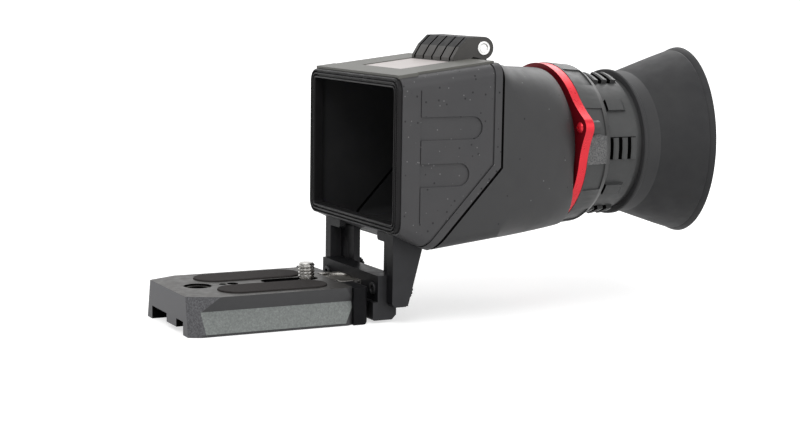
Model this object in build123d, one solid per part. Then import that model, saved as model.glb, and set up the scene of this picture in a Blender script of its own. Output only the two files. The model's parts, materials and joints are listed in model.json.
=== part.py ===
from build123d import *
import math
import os

os.makedirs("parts", exist_ok=True)

# Loupe that screws to a camera and magnifies its rear screen.
# The origin is on the camera screw's axis, in the plane of the pads' tops.
# +Y runs from the camera towards the eye, +Z is up, lengths are millimetres.

# Main driving sizes
hood_centre_z = 49.2
hood_front_y = 18.6
eye_drop = 0.6
eye_z = hood_centre_z - eye_drop
running_gap = 0.05
slide_gap = 0.2
body_gap = 0.3
overrun = 30.0

# Hood outline, depths measured back from the gasket's front plane
hood_half_width = 39.5
shell_wall = 2.4
edge_radius = 4.6
side_front_depth = 1.8
kink_depth = 15.0
seam_depth = 44.0
knee_below_axis = 5.0
top_front_rise = 29.2
top_seam_rise = 34.4
bottom_front_drop = 29.4
bottom_kink_drop = 35.7
bottom_seam_drop = 32.5

# Housing behind the seam, narrowing to the round neck
neck_run = 38.1
neck_depth = seam_depth + neck_run
neck_radius = 31.2
neck_flat = 0.3
neck_lower_radius = 15.5
waist_a_share = 0.34
waist_a_depth = seam_depth + waist_a_share * neck_run
waist_a_width_share = 0.145
waist_a_half = hood_half_width - waist_a_width_share * (hood_half_width - neck_radius)
waist_a_fall = 2.2
waist_a_rise = top_seam_rise - waist_a_fall
waist_a_sag = 1.3
waist_a_drop = bottom_seam_drop + waist_a_sag
waist_a_radius = 16.0
waist_b_share = 0.71
waist_b_depth = seam_depth + waist_b_share * neck_run
waist_b_width_share = 0.47
waist_b_half = hood_half_width - waist_b_width_share * (hood_half_width - neck_radius)
waist_b_fall = 3.6
waist_b_rise = top_seam_rise - waist_b_fall
waist_b_sag = 0.2
waist_b_drop = bottom_seam_drop + waist_b_sag
waist_b_radius = 19.0
waist_b_lower_radius = 16.5

# Seam between hood and housing
seam_gap = 1.0
seal_inset = 0.5
seal_width = 1.6
bead_offset = 3.0
bead_width = 0.8
bead_depth = 0.5

# Side details of the hood
step_depth = 9.7
step_width = 0.5
step_cut = 0.35
recess_cut = 0.6
recess_height = 8.7
recess_upper_length = 26.0
recess_lower_length = 20.6
recess_upper_rise = 10.4
recess_lower_rise = -7.1

# Front gasket
gasket_side_inset = 0.5
gasket_half_width = hood_half_width - gasket_side_inset
gasket_top_inset = 0.2
gasket_half_height = top_front_rise - gasket_top_inset
gasket_radius = 5.0
gasket_depth = 4.2
gasket_wall = 3.6
ridge_count = 2
ridge_pitch = 1.35
ridge_groove = 0.6
ridge_height = 1.0

# Top plate and label recess
plate_front_depth = 1.6
plate_rear_depth = 42.6
plate_notch_depth = 9.7
plate_front_inset = 2.9
plate_front_half = hood_half_width - plate_front_inset
plate_rear_inset = 4.5
plate_rear_half = hood_half_width - plate_rear_inset
plate_proud = 0.9
plate_sunk = 0.7
label_front_depth = 12.4
label_half_width = 16.8
label_thickness = 0.5
label_recess = 0.8
label_bevel = 1.4

# Hinge
hinge_depth = 48.35
hinge_lift = 4.7
hinge_rise = top_seam_rise + hinge_lift
hinge_pin_radius = 2.7
knuckle_radius = 4.4
hinge_half_width = 17.0
hinge_foot_front = 34.7
hinge_shoulder_depth = 37.3
hinge_shoulder_rise = 39.5
hinge_crest_depth = 41.4
hinge_crest_rise = 43.3
hinge_foot_rise = 1.2
hinge_overhang_gap = 0.4
rib_pitch = 7.2
rib_groove = 1.1
rib_groove_cut = 1.1
rib_grooves = 5
tongue_half_width = 6.6
tongue_arm = 7.6
tongue_foot = 3.0
tongue_root = 3.4
pin_dimple = 0.5
pin_dimple_radius = 1.7
pin_proud = 0.3
hinge_screw_x = 12.0
hinge_screw_offset = 3.9
hinge_screw_depth = hinge_foot_front + hinge_screw_offset
hinge_screw_radius = 1.2
hinge_screw_head = 2.3
hinge_screw_head_height = 1.2
hinge_screw_bite = 3.6

# Flange between neck and focus unit
spigot_length = 1.5
flange_front = neck_depth + spigot_length
flange_thickness = 3.8
flange_rear = flange_front + flange_thickness
flange_radius = 33.0
flange_bore = 25.95
ear_angle = 15.6
ear_centre_radius = 34.0
ear_radius = 4.4
waist_radius = 42.0
ear_screw_radius = 2.2
ear_screw_dome = 1.1
ear_screw_shank = 1.0
ear_lug_radius = 2.8
ear_lug_length = 4.5
neck_screw_count = 4
neck_screw_place = 27.4
neck_screw_radius = 0.8
neck_screw_head = 1.3
neck_screw_head_height = 1.0
neck_screw_bite = 4.0
neck_ring_radius = 29.6
neck_plug_length = 3.6

# Focus unit, depths from the gasket's front plane
base_ring_length = 9.3
base_ring_end = flange_rear + base_ring_length
base_ring_radius = 33.2
base_ring_taper = 0.8
base_pads = 9
base_pad_rise = 0.6
base_slope_length = 2.7
base_slope_end = base_ring_end + base_slope_length
base_slope_radius = 30.9
base_ear_depth = 3.0
sleeve_outer = 25.8
sleeve_inner = 24.0
sleeve_ahead = 8.9
sleeve_start = flange_front - sleeve_ahead
barrel_gap = 0.6
barrel_start = base_slope_end + barrel_gap
barrel_radius = 28.1
barrel_bore = 25.9
barrel_length = 14.5
barrel_groove_start = barrel_start + barrel_length
barrel_groove_radius = 27.4
barrel_groove_length = 2.4
sleeve_behind = 1.1
sleeve_end = barrel_groove_start + sleeve_behind
barrel_neck_radius = 27.0
barrel_lip = 26.2
grip_groups = 5
grip_ribs = 3
grip_rib_width = 2.6
grip_rib_pitch = 4.25
grip_rib_rise = 1.7
grip_rib_arc = 17.0
grip_pocket_depth = 0.5
grip_pocket_edge = 0.5
grip_pocket_arc = 18.5
grip_offset = 2.0
grip_start = barrel_start + grip_offset
stop_pad_length = 9.0
stop_pad_arc = 10.0
stop_pad_rise = 1.4
cam_width = 11.4
cam_depth = 1.1
cam_behind = 1.0

# Eyecup
cup_start = barrel_groove_start + barrel_groove_length
cup_lip_width = 1.7
cup_lip_radius = 30.2
cup_collar_length = 8.1
cup_collar_end = cup_start + cup_collar_length
cup_collar_radius = 29.4
cup_seat_length = 12.2
cup_seat_end = cup_start + cup_seat_length
cup_neck_length = 10.7
barrel_end = cup_start + cup_neck_length
cup_tilt = 11.6
cup_flare_a_length = 8.0
cup_flare_a_depth = cup_collar_end + cup_flare_a_length
cup_flare_a_radius = 32.1
cup_flare_b_length = 10.6
cup_flare_b_depth = cup_flare_a_depth + cup_flare_b_length
cup_flare_b_radius = 35.7
cup_flare_c_length = 7.6
cup_rim_front = cup_flare_b_depth + cup_flare_c_length
cup_rim_front_radius = 38.1
cup_rim_length = 2.6
cup_rim_depth = cup_rim_front + cup_rim_length
cup_rim_radius = 39.1
cup_wall = 2.2
cup_rim_wall = 1.9
cup_rim_land = 0.5

# Optics
cell_length = 18.0
cell_overlap = 9.6
cell_end = barrel_start + cell_overlap
cell_start = cell_end - cell_length
cell_outer = 23.9
cell_bore = 20.6
front_lens_radius = 21.6
front_lens_edge = 2.4
front_lens_bulge = 4.6
rear_lens_radius = 21.6
rear_lens_edge = 2.2
rear_lens_bulge = 4.0
lens_gap = 5.0
lens_land = 1.2
cell_lip = 1.6
retainer_length = 1.8
guide_pin_count = 3
guide_pin_radius = 1.1
guide_pin_tip = 26.7
lens_travel = 4.0

# Baffle behind the seam
baffle_offset = 6.0
baffle_depth = seam_depth + baffle_offset
baffle_thickness = 1.2
baffle_open_half_width = 27.0
baffle_open_half_height = 22.0
baffle_radius = 4.0
baffle_fit = 0.15

# Magnets each side of the knee
magnet_radius = 2.2
magnet_length = 2.6
magnet_boss = 6.4
magnet_boss_depth = 5.0
magnet_inset = 3.6

# Base plate
plate_half_width = 25.0
plate_front_y = -56.4
plate_rear_y = 8.5
plate_top_z = -0.6
plate_bottom_z = -15.2
chamfer_width = 5.6
chamfer_front_length = 11.6
chamfer_slant_share = 0.2
chamfer_rear_width = 1.6
chamfer_rear_length = 3.2
waist_z = -6.1
waist_inset = 2.2
base_lip = 1.0
base_lip_inset = 0.6
rail_width = 8.0
groove_roof_z = -10.2
base_web = 3.0
centre_rail_offset = 4.5
centre_rail_width = 10.6
centre_rail_bottom_z = -13.4
centre_rail_end_y = -25.0
pocket_radius = 6.6
pocket_roof_z = -6.4
slot_radius = 3.4
slot_front_y = -15.2
slot_rear_y = 1.2
tunnel_half_width = 10.6
tunnel_top_z = -3.0
tunnel_bottom_z = -5.3
tunnel_front_y = -27.0
pad_inner_x = 4.8
pad_width = 16.0
pad_front_y = -41.0
pad_rear_y = 2.2
pad_sink = 0.5
big_hole_y = -44.4
big_hole_radius = 4.0
big_hole_rim = 5.2
big_hole_rim_depth = 0.8
pin_hole_y = -30.4
pin_hole_radius = 2.1
small_hole_y = -34.4
small_hole_radius = 1.5
pin_hole_depth = 4.6

# Camera screw
thread_radius = 3.175
thread_top_z = 5.6
thread_tip = 0.7
screw_shank_radius = 2.6
bush_neck_radius = 3.2
bush_top_z = -1.3
bush_flange_radius = 6.2
bush_flange_thickness = 1.1
screw_head_radius = 6.2
screw_head_thickness = 1.9
lug_half_width = 2.5
lug_length = 2.6
lug_drop = 2.6
lug_y = 3.4
ring_outer = 6.2
ring_inner = 4.8
ring_thickness = 1.4
ring_pin_radius = 0.6

# Slide housing behind the base plate
housing_rear_y = 14.8
housing_top_z = -1.0
housing_corner = 2.2
housing_bottom_z = -15.2
channel_half_width = 10.6
housing_screw_x = 17.0
housing_screw_z = -8.2
small_screw_radius = 1.5
small_screw_head = 2.8
small_screw_head_height = 1.6
small_screw_length = 12.0
lock_y = 11.6
lock_knob_radius = 3.4
lock_knob_length = 6.5
lock_knob_gap = 0.6
lock_shaft_radius = 2.0
knurl_count = 20
knurl_radius = 0.45

# Slide tongue and crossbar
tongue_half = 10.3
tongue_bottom_z = -5.1
tongue_skin_z = -3.1
fork_slot_half = 4.6
fork_front_y = -25.4
fork_slot_end_y = 3.0
land_front_y = 9.7
land_top_z = -0.7
land_dish_radius = 7.6
land_dish_cut = 0.5
bar_half_width = plate_half_width
bar_front_y = 18.5
bar_rear_y = 26.4
bar_top_z = 3.0
bar_bottom_z = -14.1
bar_chamfer = 1.8
bar_lip_front_y = 16.5
bar_lip_top_z = -7.0
bar_lip_inset = 0.6
tongue_tail_y = 22.6
tongue_screw_x = 7.4
tongue_screw_z = -2.9
tongue_screw_radius = 1.25
tongue_screw_head = 2.3
tongue_screw_bite = 8.0
clamp_inset = 4.4
clamp_x = bar_half_width - clamp_inset
clamp_z = -2.35
clamp_screw_radius = 2.0
clamp_head_radius = 2.3
clamp_head_sink = 0.6
clamp_head_proud = 0.5
clamp_socket_radius = 1.2
clamp_socket_depth = 1.4
nut_radius = 5.0
nut_length = 3.2
nut_collar_radius = 3.4
nut_collar_length = 1.0

# Legs
leg_side_gap = 0.4
leg_plate_inner_x = bar_half_width + leg_side_gap
leg_plate_thickness = 4.85
leg_outer_x = leg_plate_inner_x + leg_plate_thickness
leg_front_y = 22.0
leg_rear_top_y = 34.4
leg_rear_bottom_y = 29.0
leg_bottom_z = -8.6
leg_toe = 1.2
flange_front_gap = 0.25
flange_plate = 2.8
flange_overlap = 11.7
flange_inner_x = bar_half_width - flange_overlap
leg_slot_top_z = 11.6
leg_slot_wide_top_z = 6.2
leg_slot_bottom_z = -6.6
leg_slot_half = 2.2
leg_slot_tip_half = 0.9
leg_slot_frame = 1.5
leg_slot_frame_rise = 0.5
hood_drop = 6.2
tab_overlap = 8.4
tab_inner_x = bar_half_width - tab_overlap
tab_height = 3.4
tab_depth = 2.6
tab_radius = 1.4
leg_screw_inset = 2.45
leg_screw_x = leg_outer_x - leg_screw_inset
leg_screw_front_y = 25.4
leg_screw_rear_y = 30.6
leg_screw_radius = 1.2
leg_screw_head = 2.2
leg_screw_head_height = 1.3
leg_screw_length = 9.0
leg_boss_radius = 3.0
leg_boss_rise = 1.3


# Shared shapes
def box(x0, x1, y0, y1, z0, z1):
    middle = Pos((x0 + x1) / 2, (y0 + y1) / 2, (z0 + z1) / 2)
    return middle * Box(x1 - x0, y1 - y0, z1 - z0)


def rod(start, direction, radius, length):
    base = Plane(origin=start, z_dir=direction)
    return base * Cylinder(radius, length, align=(Align.CENTER, Align.CENTER, Align.MIN))


def side_prism(points, half_width):
    """A side outline of (y, z) points, run across from -half_width to half_width."""
    face = make_face(Plane.YZ * Polyline(*points, close=True))
    return extrude(face, half_width, both=True)


def plan_prism(points, z0, z1):
    """A plan outline of (x, y) points, run up from z0 to z1."""
    face = Pos(0, 0, z0) * make_face(Polyline(*points, close=True))
    return extrude(face, z1 - z0)


def front_prism(points, y0, y1):
    """A front outline of (x, z) points, run back from y0 to y1."""
    face = Pos(0, y0, 0) * make_face(Plane.XZ * Polyline(*points, close=True))
    return extrude(face, y1 - y0, dir=(0, 1, 0))


def turned(points):
    """A solid of revolution about the optical axis from (depth, radius) points."""
    placed = [(hood_front_y + depth, radius) for depth, radius in points]
    lathe = Plane(origin=(0, 0, eye_z), x_dir=(0, 1, 0), z_dir=(1, 0, 0))
    face = make_face(lathe * Polyline(*placed, close=True))
    return revolve(face, axis=Axis((0, 0, eye_z), (0, 1, 0)))


def about_eye(shape, angle):
    """The shape turned about the optical axis, angle anticlockwise from the front."""
    return Pos(0, 0, eye_z) * Rot(0, -angle, 0) * Pos(0, 0, -eye_z) * shape


def eye_rod(depth, radius, length):
    return rod((0, hood_front_y + depth, eye_z), (0, 1, 0), radius, length)


def mirrored(shape):
    return mirror(shape, about=Plane.YZ)


def both_sides(shape):
    return Compound(children=[shape, mirrored(shape)])


def row_y(depth):
    return hood_front_y + depth


def row_z(rise):
    return hood_centre_z + rise


# Hood and housing skins
def section(depth, half_width, rise, drop, radius):
    """One upright rounded-rectangle section of the skin."""
    middle = hood_centre_z + (rise - drop) / 2
    place = Plane(origin=(0, row_y(depth), middle), x_dir=(1, 0, 0), z_dir=(0, -1, 0))
    return place * RectangleRounded(2 * half_width, rise + drop, radius)


def tail_section(depth, half_width, rise, drop, upper_radius, lower_radius):
    """A section with wider corners above than below."""
    upper = [(1, rise, upper_radius), (-1, rise, upper_radius)]
    lower = [(-1, -drop, lower_radius), (1, -drop, lower_radius)]
    edges = []
    ends = []
    for index, (side, level, radius) in enumerate(upper + lower):
        lift = 1 if level > 0 else -1
        centre = (side * (half_width - radius), level - lift * radius)
        start = math.radians(90 * index)
        points = [
            (centre[0] + radius * math.cos(start + turn), centre[1] + radius * math.sin(start + turn))
            for turn in (0, math.pi / 4, math.pi / 2)
        ]
        if ends:
            edges.append(Line(ends[-1], points[0]))
        edges.append(ThreePointArc(*points))
        ends += [points[0], points[2]]
    edges.append(Line(ends[-1], ends[0]))
    place = Plane(origin=(0, row_y(depth), hood_centre_z), x_dir=(1, 0, 0), z_dir=(0, -1, 0))
    return place * make_face(edges)


def hood_skin(inset, front, rear):
    """The hood's outer form, or with an inset the form inside its wall."""
    half = hood_half_width - inset
    corner = edge_radius - inset / 2
    top_slope = (top_seam_rise - top_front_rise) / (seam_depth - side_front_depth)
    bottom_slope = (bottom_kink_drop - bottom_front_drop) / (kink_depth - side_front_depth)

    def rise(depth):
        return top_front_rise + top_slope * (depth - side_front_depth) - inset

    kink = section(kink_depth, half, rise(kink_depth), bottom_kink_drop - inset, corner)
    nose_drop = bottom_kink_drop - bottom_slope * (kink_depth - front) - inset
    nose = section(front, half, rise(front), nose_drop, corner)
    tail = section(rear, half, rise(rear), bottom_seam_drop - inset, corner)
    return loft([nose, kink], ruled=True) + loft([kink, tail], ruled=True)


def tail_skin(inset, end):
    """The form that narrows from the seam's rectangle to the round neck."""
    round_half = neck_radius - inset
    start = tail_section(
        seam_depth,
        hood_half_width - inset,
        top_seam_rise - inset,
        bottom_seam_drop - inset,
        edge_radius - inset / 2,
        edge_radius - inset / 2,
    )
    first = tail_section(
        waist_a_depth,
        waist_a_half - inset,
        waist_a_rise - inset,
        waist_a_drop - inset,
        waist_a_radius - inset / 2,
        waist_a_radius - inset / 2,
    )
    second = tail_section(
        waist_b_depth,
        waist_b_half - inset,
        waist_b_rise - inset,
        waist_b_drop - inset,
        waist_b_radius - inset / 2,
        waist_b_lower_radius - inset / 2,
    )
    last = tail_section(
        end,
        round_half,
        round_half - eye_drop,
        round_half + eye_drop,
        round_half - neck_flat,
        neck_lower_radius - inset / 2,
    )
    return loft([start, first, second, last])


def seam_line(offset):
    """The seam's side outline (y, z), moved back by offset, from the top down."""
    knee_z = row_z(-knee_below_axis)
    run = seam_depth - kink_depth
    fall = bottom_kink_drop - knee_below_axis
    slant = math.hypot(run, fall)
    shift_y = offset * fall / slant
    shift_z = offset * run / slant
    corner_y = row_y(seam_depth) + offset
    corner_z = knee_z + (offset - shift_y) * fall / run - shift_z
    end_z = row_z(-bottom_kink_drop) - overrun
    end_y = corner_y - (corner_z - end_z) * run / fall
    return [(corner_y, row_z(top_seam_rise) + overrun), (corner_y, corner_z), (end_y, end_z)]


def ahead_of_seam(offset):
    front = row_y(-overrun)
    line = seam_line(offset)
    return side_prism([(front, line[0][1])] + line + [(front, line[-1][1])], hood_half_width + overrun)


def seam_slab(start, width):
    return ahead_of_seam(start + width) - ahead_of_seam(start)


def finger_recess(rise, length):
    """A shallow D-shaped finger recess for the hood's +X side."""
    radius = recess_height / 2
    straight = length - radius
    y0 = row_y(step_depth)
    z = row_z(rise)
    low = hood_half_width - recess_cut
    block = box(low, hood_half_width + overrun, y0, y0 + straight, z - radius, z + radius)
    nose = rod((low, y0 + straight, z), (1, 0, 0), radius, overrun)
    return block + nose


def roof_z(depth):
    """The height of the hood's top surface at a depth."""
    slope = (top_seam_rise - top_front_rise) / (seam_depth - side_front_depth)
    return row_z(top_front_rise + slope * (depth - side_front_depth))


def roof_slab(front, rear, half, low, high):
    """A slab that follows the hood's sloping top, from low to high over its surface."""
    outline = [
        (row_y(front), roof_z(front) + low),
        (row_y(rear), roof_z(rear) + low),
        (row_y(rear), roof_z(rear) + high),
        (row_y(front), roof_z(front) + high),
    ]
    return side_prism(outline, half)


def magnet_places(depth):
    x = hood_half_width - magnet_inset
    return (x, row_y(depth), row_z(-knee_below_axis) + magnet_boss / 2)


def leg_screw_places():
    return [(leg_screw_x, leg_screw_front_y), (leg_screw_x, leg_screw_rear_y)]


def floor_z(y):
    """The height of the hood's outer floor, ahead of its kink."""
    slope = (bottom_kink_drop - bottom_front_drop) / (kink_depth - side_front_depth)
    depth = y - hood_front_y
    return row_z(-(bottom_front_drop + slope * (depth - side_front_depth)))


def make_hood_shell():
    outer = hood_skin(0, side_front_depth, seam_depth)
    inner = hood_skin(shell_wall, side_front_depth - overrun / 10, seam_depth + overrun / 10)
    shell = outer - inner
    for x, y in leg_screw_places():
        boss = rod((x, y, floor_z(y)), (0, 0, 1), leg_boss_radius, shell_wall + leg_boss_rise) & outer
        shell += both_sides_solid(boss)
    x, y, z = magnet_places(seam_depth)
    boss = box(x - magnet_boss / 2, hood_half_width - shell_wall / 2, y - magnet_boss_depth, y,
               z - magnet_boss / 2, z + magnet_boss / 2)
    shell += both_sides_solid(boss)
    shell &= ahead_of_seam(0)
    groove = seam_slab(-bead_offset - bead_width, bead_width) - hood_skin(
        bead_depth, side_front_depth - overrun / 10, seam_depth + overrun / 10)
    shell -= groove
    step = box(hood_half_width - step_cut, hood_half_width + overrun,
               row_y(step_depth - step_width), row_y(step_depth),
               row_z(-bottom_front_drop + edge_radius), row_z(top_front_rise - edge_radius))
    upper = finger_recess(recess_upper_rise, recess_upper_length)
    lower = finger_recess(recess_lower_rise, recess_lower_length)
    for cut in (step, upper, lower):
        shell -= both_sides_solid(cut)
    shell -= roof_slab(plate_front_depth - overrun / 10, plate_notch_depth, plate_front_half + slide_gap / 2,
                       -plate_sunk, overrun)
    shell -= roof_slab(plate_notch_depth - overrun / 10, plate_rear_depth + slide_gap / 2,
                       plate_rear_half + slide_gap / 2, -plate_sunk, overrun)
    shell -= both_sides_solid(rod((x, y - magnet_length, z), (0, 1, 0), magnet_radius, overrun))
    for x, y in leg_screw_places():
        shell -= both_sides_solid(rod((x, y, floor_z(y) - overrun / 2), (0, 0, 1),
                                      leg_screw_radius + running_gap, overrun))
    shell -= hinge_screw_rods(hinge_screw_radius + running_gap, hinge_screw_bite)
    gasket_seat = gasket_block(row_y(0), gasket_depth + slide_gap / 2, -slide_gap / 2)
    return shell - gasket_seat


def both_sides_solid(shape):
    return shape + mirrored(shape)


def frame_face(y, half_width, half_height, radius):
    place = Plane(origin=(0, y, hood_centre_z), x_dir=(1, 0, 0), z_dir=(0, -1, 0))
    return place * RectangleRounded(2 * half_width, 2 * half_height, radius)


def gasket_block(y, depth, inset):
    face = frame_face(y, gasket_half_width - inset, gasket_half_height - inset, gasket_radius - inset)
    return extrude(face, depth, dir=(0, 1, 0))


def make_front_gasket():
    outer = gasket_block(row_y(0), gasket_depth, 0)
    hole = frame_face(row_y(0), gasket_half_width - gasket_wall, gasket_half_height - gasket_wall,
                      gasket_radius - gasket_wall)
    gasket = outer - extrude(hole, 2 * gasket_depth, both=True)
    for index in range(ridge_count):
        start = ridge_pitch * index + ridge_pitch - ridge_groove
        ring = gasket_block(row_y(0), ridge_height, start) - gasket_block(
            row_y(0), ridge_height, start + ridge_groove)
        gasket -= ring
    return gasket


def make_top_plate():
    front = roof_slab(plate_front_depth, plate_notch_depth, plate_front_half, -plate_sunk, plate_proud)
    rear = roof_slab(plate_notch_depth, plate_rear_depth, plate_rear_half, -plate_sunk, plate_proud)
    plate = front + rear
    recess = roof_slab(label_front_depth, hinge_foot_front + label_bevel, label_half_width,
                       plate_proud - label_recess, overrun)
    plate -= recess
    plate -= gasket_block(row_y(0), gasket_depth + slide_gap / 2, -slide_gap / 2)
    return plate - hinge_outline(slide_gap / 2)


def make_label_panel():
    gap = slide_gap
    low = plate_proud - label_recess
    panel = roof_slab(label_front_depth + gap, hinge_foot_front - gap, label_half_width - gap,
                      low, low + label_thickness)
    return panel - hinge_outline(slide_gap / 2)


# Hinge
def hinge_outline(grow):
    """The hinge block's side form, grown all round for the plate that it stands in."""
    pin_y = row_y(hinge_depth)
    pin_z = row_z(hinge_rise)
    foot_rear = pin_y - knuckle_radius
    points = [
        (row_y(hinge_foot_front) - grow, roof_z(hinge_foot_front) - plate_sunk - grow),
        (row_y(hinge_foot_front) - grow, roof_z(hinge_foot_front) + plate_proud + hinge_foot_rise),
        (row_y(hinge_shoulder_depth) - grow, row_z(hinge_shoulder_rise) + grow),
        (row_y(hinge_crest_depth) - grow, row_z(hinge_crest_rise) + grow),
        (pin_y, pin_z + knuckle_radius + grow),
        (pin_y, pin_z - knuckle_radius),
        (foot_rear, row_z(top_seam_rise) + plate_proud + hinge_overhang_gap),
        (row_y(plate_rear_depth) - slide_gap, row_z(top_seam_rise) + hinge_overhang_gap),
        (row_y(plate_rear_depth) - slide_gap, roof_z(plate_rear_depth) - plate_sunk - grow),
    ]
    half = hinge_half_width + grow
    block = side_prism(points, half)
    knuckle = rod((-half, pin_y, pin_z), (1, 0, 0), knuckle_radius + grow, 2 * half)
    return block + knuckle


def make_hinge_block():
    pin_y = row_y(hinge_depth)
    pin_z = row_z(hinge_rise)
    block = hinge_outline(0)
    core_points = [
        (row_y(hinge_foot_front) + rib_groove_cut, roof_z(hinge_foot_front) - overrun / 10),
        (row_y(hinge_foot_front) + rib_groove_cut, roof_z(hinge_foot_front) + plate_proud + hinge_foot_rise),
        (row_y(hinge_shoulder_depth) + rib_groove_cut, row_z(hinge_shoulder_rise) - rib_groove_cut / 3),
        (row_y(hinge_crest_depth) + rib_groove_cut / 2, row_z(hinge_crest_rise) - rib_groove_cut),
        (pin_y, pin_z + knuckle_radius - rib_groove_cut),
        (pin_y + knuckle_radius + overrun, pin_z + knuckle_radius - rib_groove_cut),
        (pin_y + knuckle_radius + overrun, roof_z(hinge_foot_front) - overrun / 10),
    ]
    core = side_prism(core_points, hinge_half_width + overrun)
    front_y = row_y(hinge_foot_front) - rib_groove_cut
    for index in range(rib_grooves):
        x = (index - (rib_grooves - 1) / 2) * rib_pitch
        slab = box(x - rib_groove / 2, x + rib_groove / 2, front_y, pin_y + knuckle_radius / 2,
                   roof_z(hinge_foot_front) + plate_proud, pin_z + overrun)
        block -= slab - core
    pocket_half = tongue_half_width + slide_gap
    sweep = knuckle_radius + body_gap
    pocket = rod((-pocket_half, pin_y, pin_z), (1, 0, 0), sweep, 2 * pocket_half)
    pocket += box(-pocket_half, pocket_half, pin_y, pin_y + overrun, pin_z - overrun, pin_z + overrun)
    pocket += box(-pocket_half, pocket_half, pin_y - sweep, pin_y + overrun, pin_z - overrun, pin_z)
    block -= pocket
    block -= rod((-overrun, pin_y, pin_z), (1, 0, 0), hinge_pin_radius, 2 * overrun)
    return block - hinge_screw_rods(hinge_screw_radius, hinge_screw_bite)


def hinge_screw_rods(radius, bite):
    """Two upright rods from under the hood's roof up into the hinge block."""
    base = roof_z(hinge_screw_depth) - shell_wall - body_gap
    length = shell_wall + body_gap - plate_sunk + bite
    rods = [rod((side * hinge_screw_x, row_y(hinge_screw_depth), base), (0, 0, 1), radius, length)
            for side in (-1, 1)]
    return Compound(children=rods)


def make_hinge_screws():
    base = roof_z(hinge_screw_depth) - shell_wall - body_gap
    screws = hinge_screw_rods(hinge_screw_radius, hinge_screw_bite)
    joined = []
    for side, shank in zip((-1, 1), screws.children):
        place = (side * hinge_screw_x, row_y(hinge_screw_depth), base)
        head = rod(place, (0, 0, -1), hinge_screw_head, hinge_screw_head_height)
        socket = rod((place[0], place[1], base - hinge_screw_head_height), (0, 0, 1),
                     hinge_screw_radius * 2 / 3, hinge_screw_head_height / 2)
        joined.append(shank + head - socket)
    return Compound(children=joined)


def make_hinge_pin():
    pin_y = row_y(hinge_depth)
    pin_z = row_z(hinge_rise)
    half = hinge_half_width + pin_proud
    pin = rod((-half, pin_y, pin_z), (1, 0, 0), hinge_pin_radius, 2 * half)
    dimple = rod((half - pin_dimple, pin_y, pin_z), (1, 0, 0), pin_dimple_radius, overrun)
    return pin - both_sides_solid(dimple)


def housing_knuckle():
    """The tongue that hangs from the hinge pin and grows out of the housing's roof."""
    pin_y = row_y(hinge_depth)
    pin_z = row_z(hinge_rise)
    eye = rod((-tongue_half_width, pin_y, pin_z), (1, 0, 0), knuckle_radius, 2 * tongue_half_width)
    low_z = row_z(top_seam_rise) - tongue_root
    arm = side_prism([
        (pin_y - knuckle_radius / 2, pin_z),
        (pin_y + knuckle_radius, pin_z),
        (pin_y + tongue_arm, low_z + tongue_foot),
        (pin_y + tongue_arm, low_z),
        (row_y(seam_depth + seam_gap), low_z),
        (row_y(seam_depth + seam_gap), row_z(top_seam_rise) - hinge_overhang_gap),
    ], tongue_half_width)
    return eye + arm


def knuckle_bore():
    pin_y = row_y(hinge_depth)
    start = (-overrun, pin_y, row_z(hinge_rise))
    return rod(start, (1, 0, 0), hinge_pin_radius + running_gap, 2 * overrun)


# Rear housing
def make_rear_housing():
    lower = hood_skin(0, side_front_depth, seam_depth)
    outer = lower + tail_skin(0, neck_depth)
    lower_inner = hood_skin(shell_wall, side_front_depth, seam_depth)
    inner = lower_inner + tail_skin(shell_wall, neck_depth + overrun / 100)
    housing = outer - inner - ahead_of_seam(seam_gap)
    x, y, z = magnet_places(seam_depth + seam_gap)
    boss = box(x - magnet_boss / 2, hood_half_width - shell_wall, y, y + magnet_boss_depth,
               z - magnet_boss / 2, z + magnet_boss / 2)
    housing += both_sides_solid(boss)
    pin_y = row_y(hinge_depth)
    clear = rod((-overrun, pin_y, row_z(hinge_rise)), (1, 0, 0), knuckle_radius + body_gap, 2 * overrun)
    housing -= clear
    housing += housing_knuckle() - inner
    housing -= knuckle_bore()
    housing -= both_sides_solid(rod((x, y - overrun, z), (0, 1, 0), magnet_radius, overrun + magnet_length))
    plug_start = flange_front - neck_plug_length
    reach = hood_half_width + overrun
    plug = tail_skin(0, neck_depth) & box(-reach, reach, row_y(plug_start), row_y(neck_depth), -reach,
                                          eye_z + reach)
    spigot = eye_rod(plug_start, neck_ring_radius, neck_plug_length)
    bore = eye_rod(plug_start - neck_plug_length, flange_bore, 3 * neck_plug_length)
    return housing + plug + spigot - bore - neck_screw_holes(neck_screw_radius + running_gap)


def make_seam_seal():
    """The dark strip that closes the seam, set back from the skin."""
    outer = hood_skin(seal_inset, side_front_depth, seam_depth) + tail_skin(seal_inset, neck_depth)
    inner = hood_skin(seal_inset + seal_width, side_front_depth, seam_depth)
    inner += tail_skin(seal_inset + seal_width, neck_depth)
    slab = seam_slab(body_gap / 3, seam_gap - body_gap / 3)
    seal = (outer - inner) & slab
    pin_y = row_y(hinge_depth)
    return seal - rod((-overrun, pin_y, row_z(hinge_rise)), (1, 0, 0), knuckle_radius + body_gap, 2 * overrun)


def make_baffle():
    inner = tail_skin(shell_wall + baffle_fit, neck_depth)
    slab = box(-overrun * 2, overrun * 2, row_y(baffle_depth), row_y(baffle_depth + baffle_thickness),
               row_z(-overrun * 2), row_z(overrun * 2))
    opening = extrude(frame_face(row_y(baffle_depth - baffle_thickness), baffle_open_half_width,
                                 baffle_open_half_height, baffle_radius), 3 * baffle_thickness, dir=(0, 1, 0))
    return (inner & slab) - opening


def make_magnets(depth, direction):
    x, y, z = magnet_places(depth)
    start = y if direction > 0 else y - magnet_length
    return both_sides(rod((x, start, z), (0, 1, 0), magnet_radius, magnet_length))


# Screws that hold the neck, the flange and the focus base together
def neck_screw_places():
    return [360 * (index + 1 / 2) / neck_screw_count for index in range(neck_screw_count)]


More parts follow.
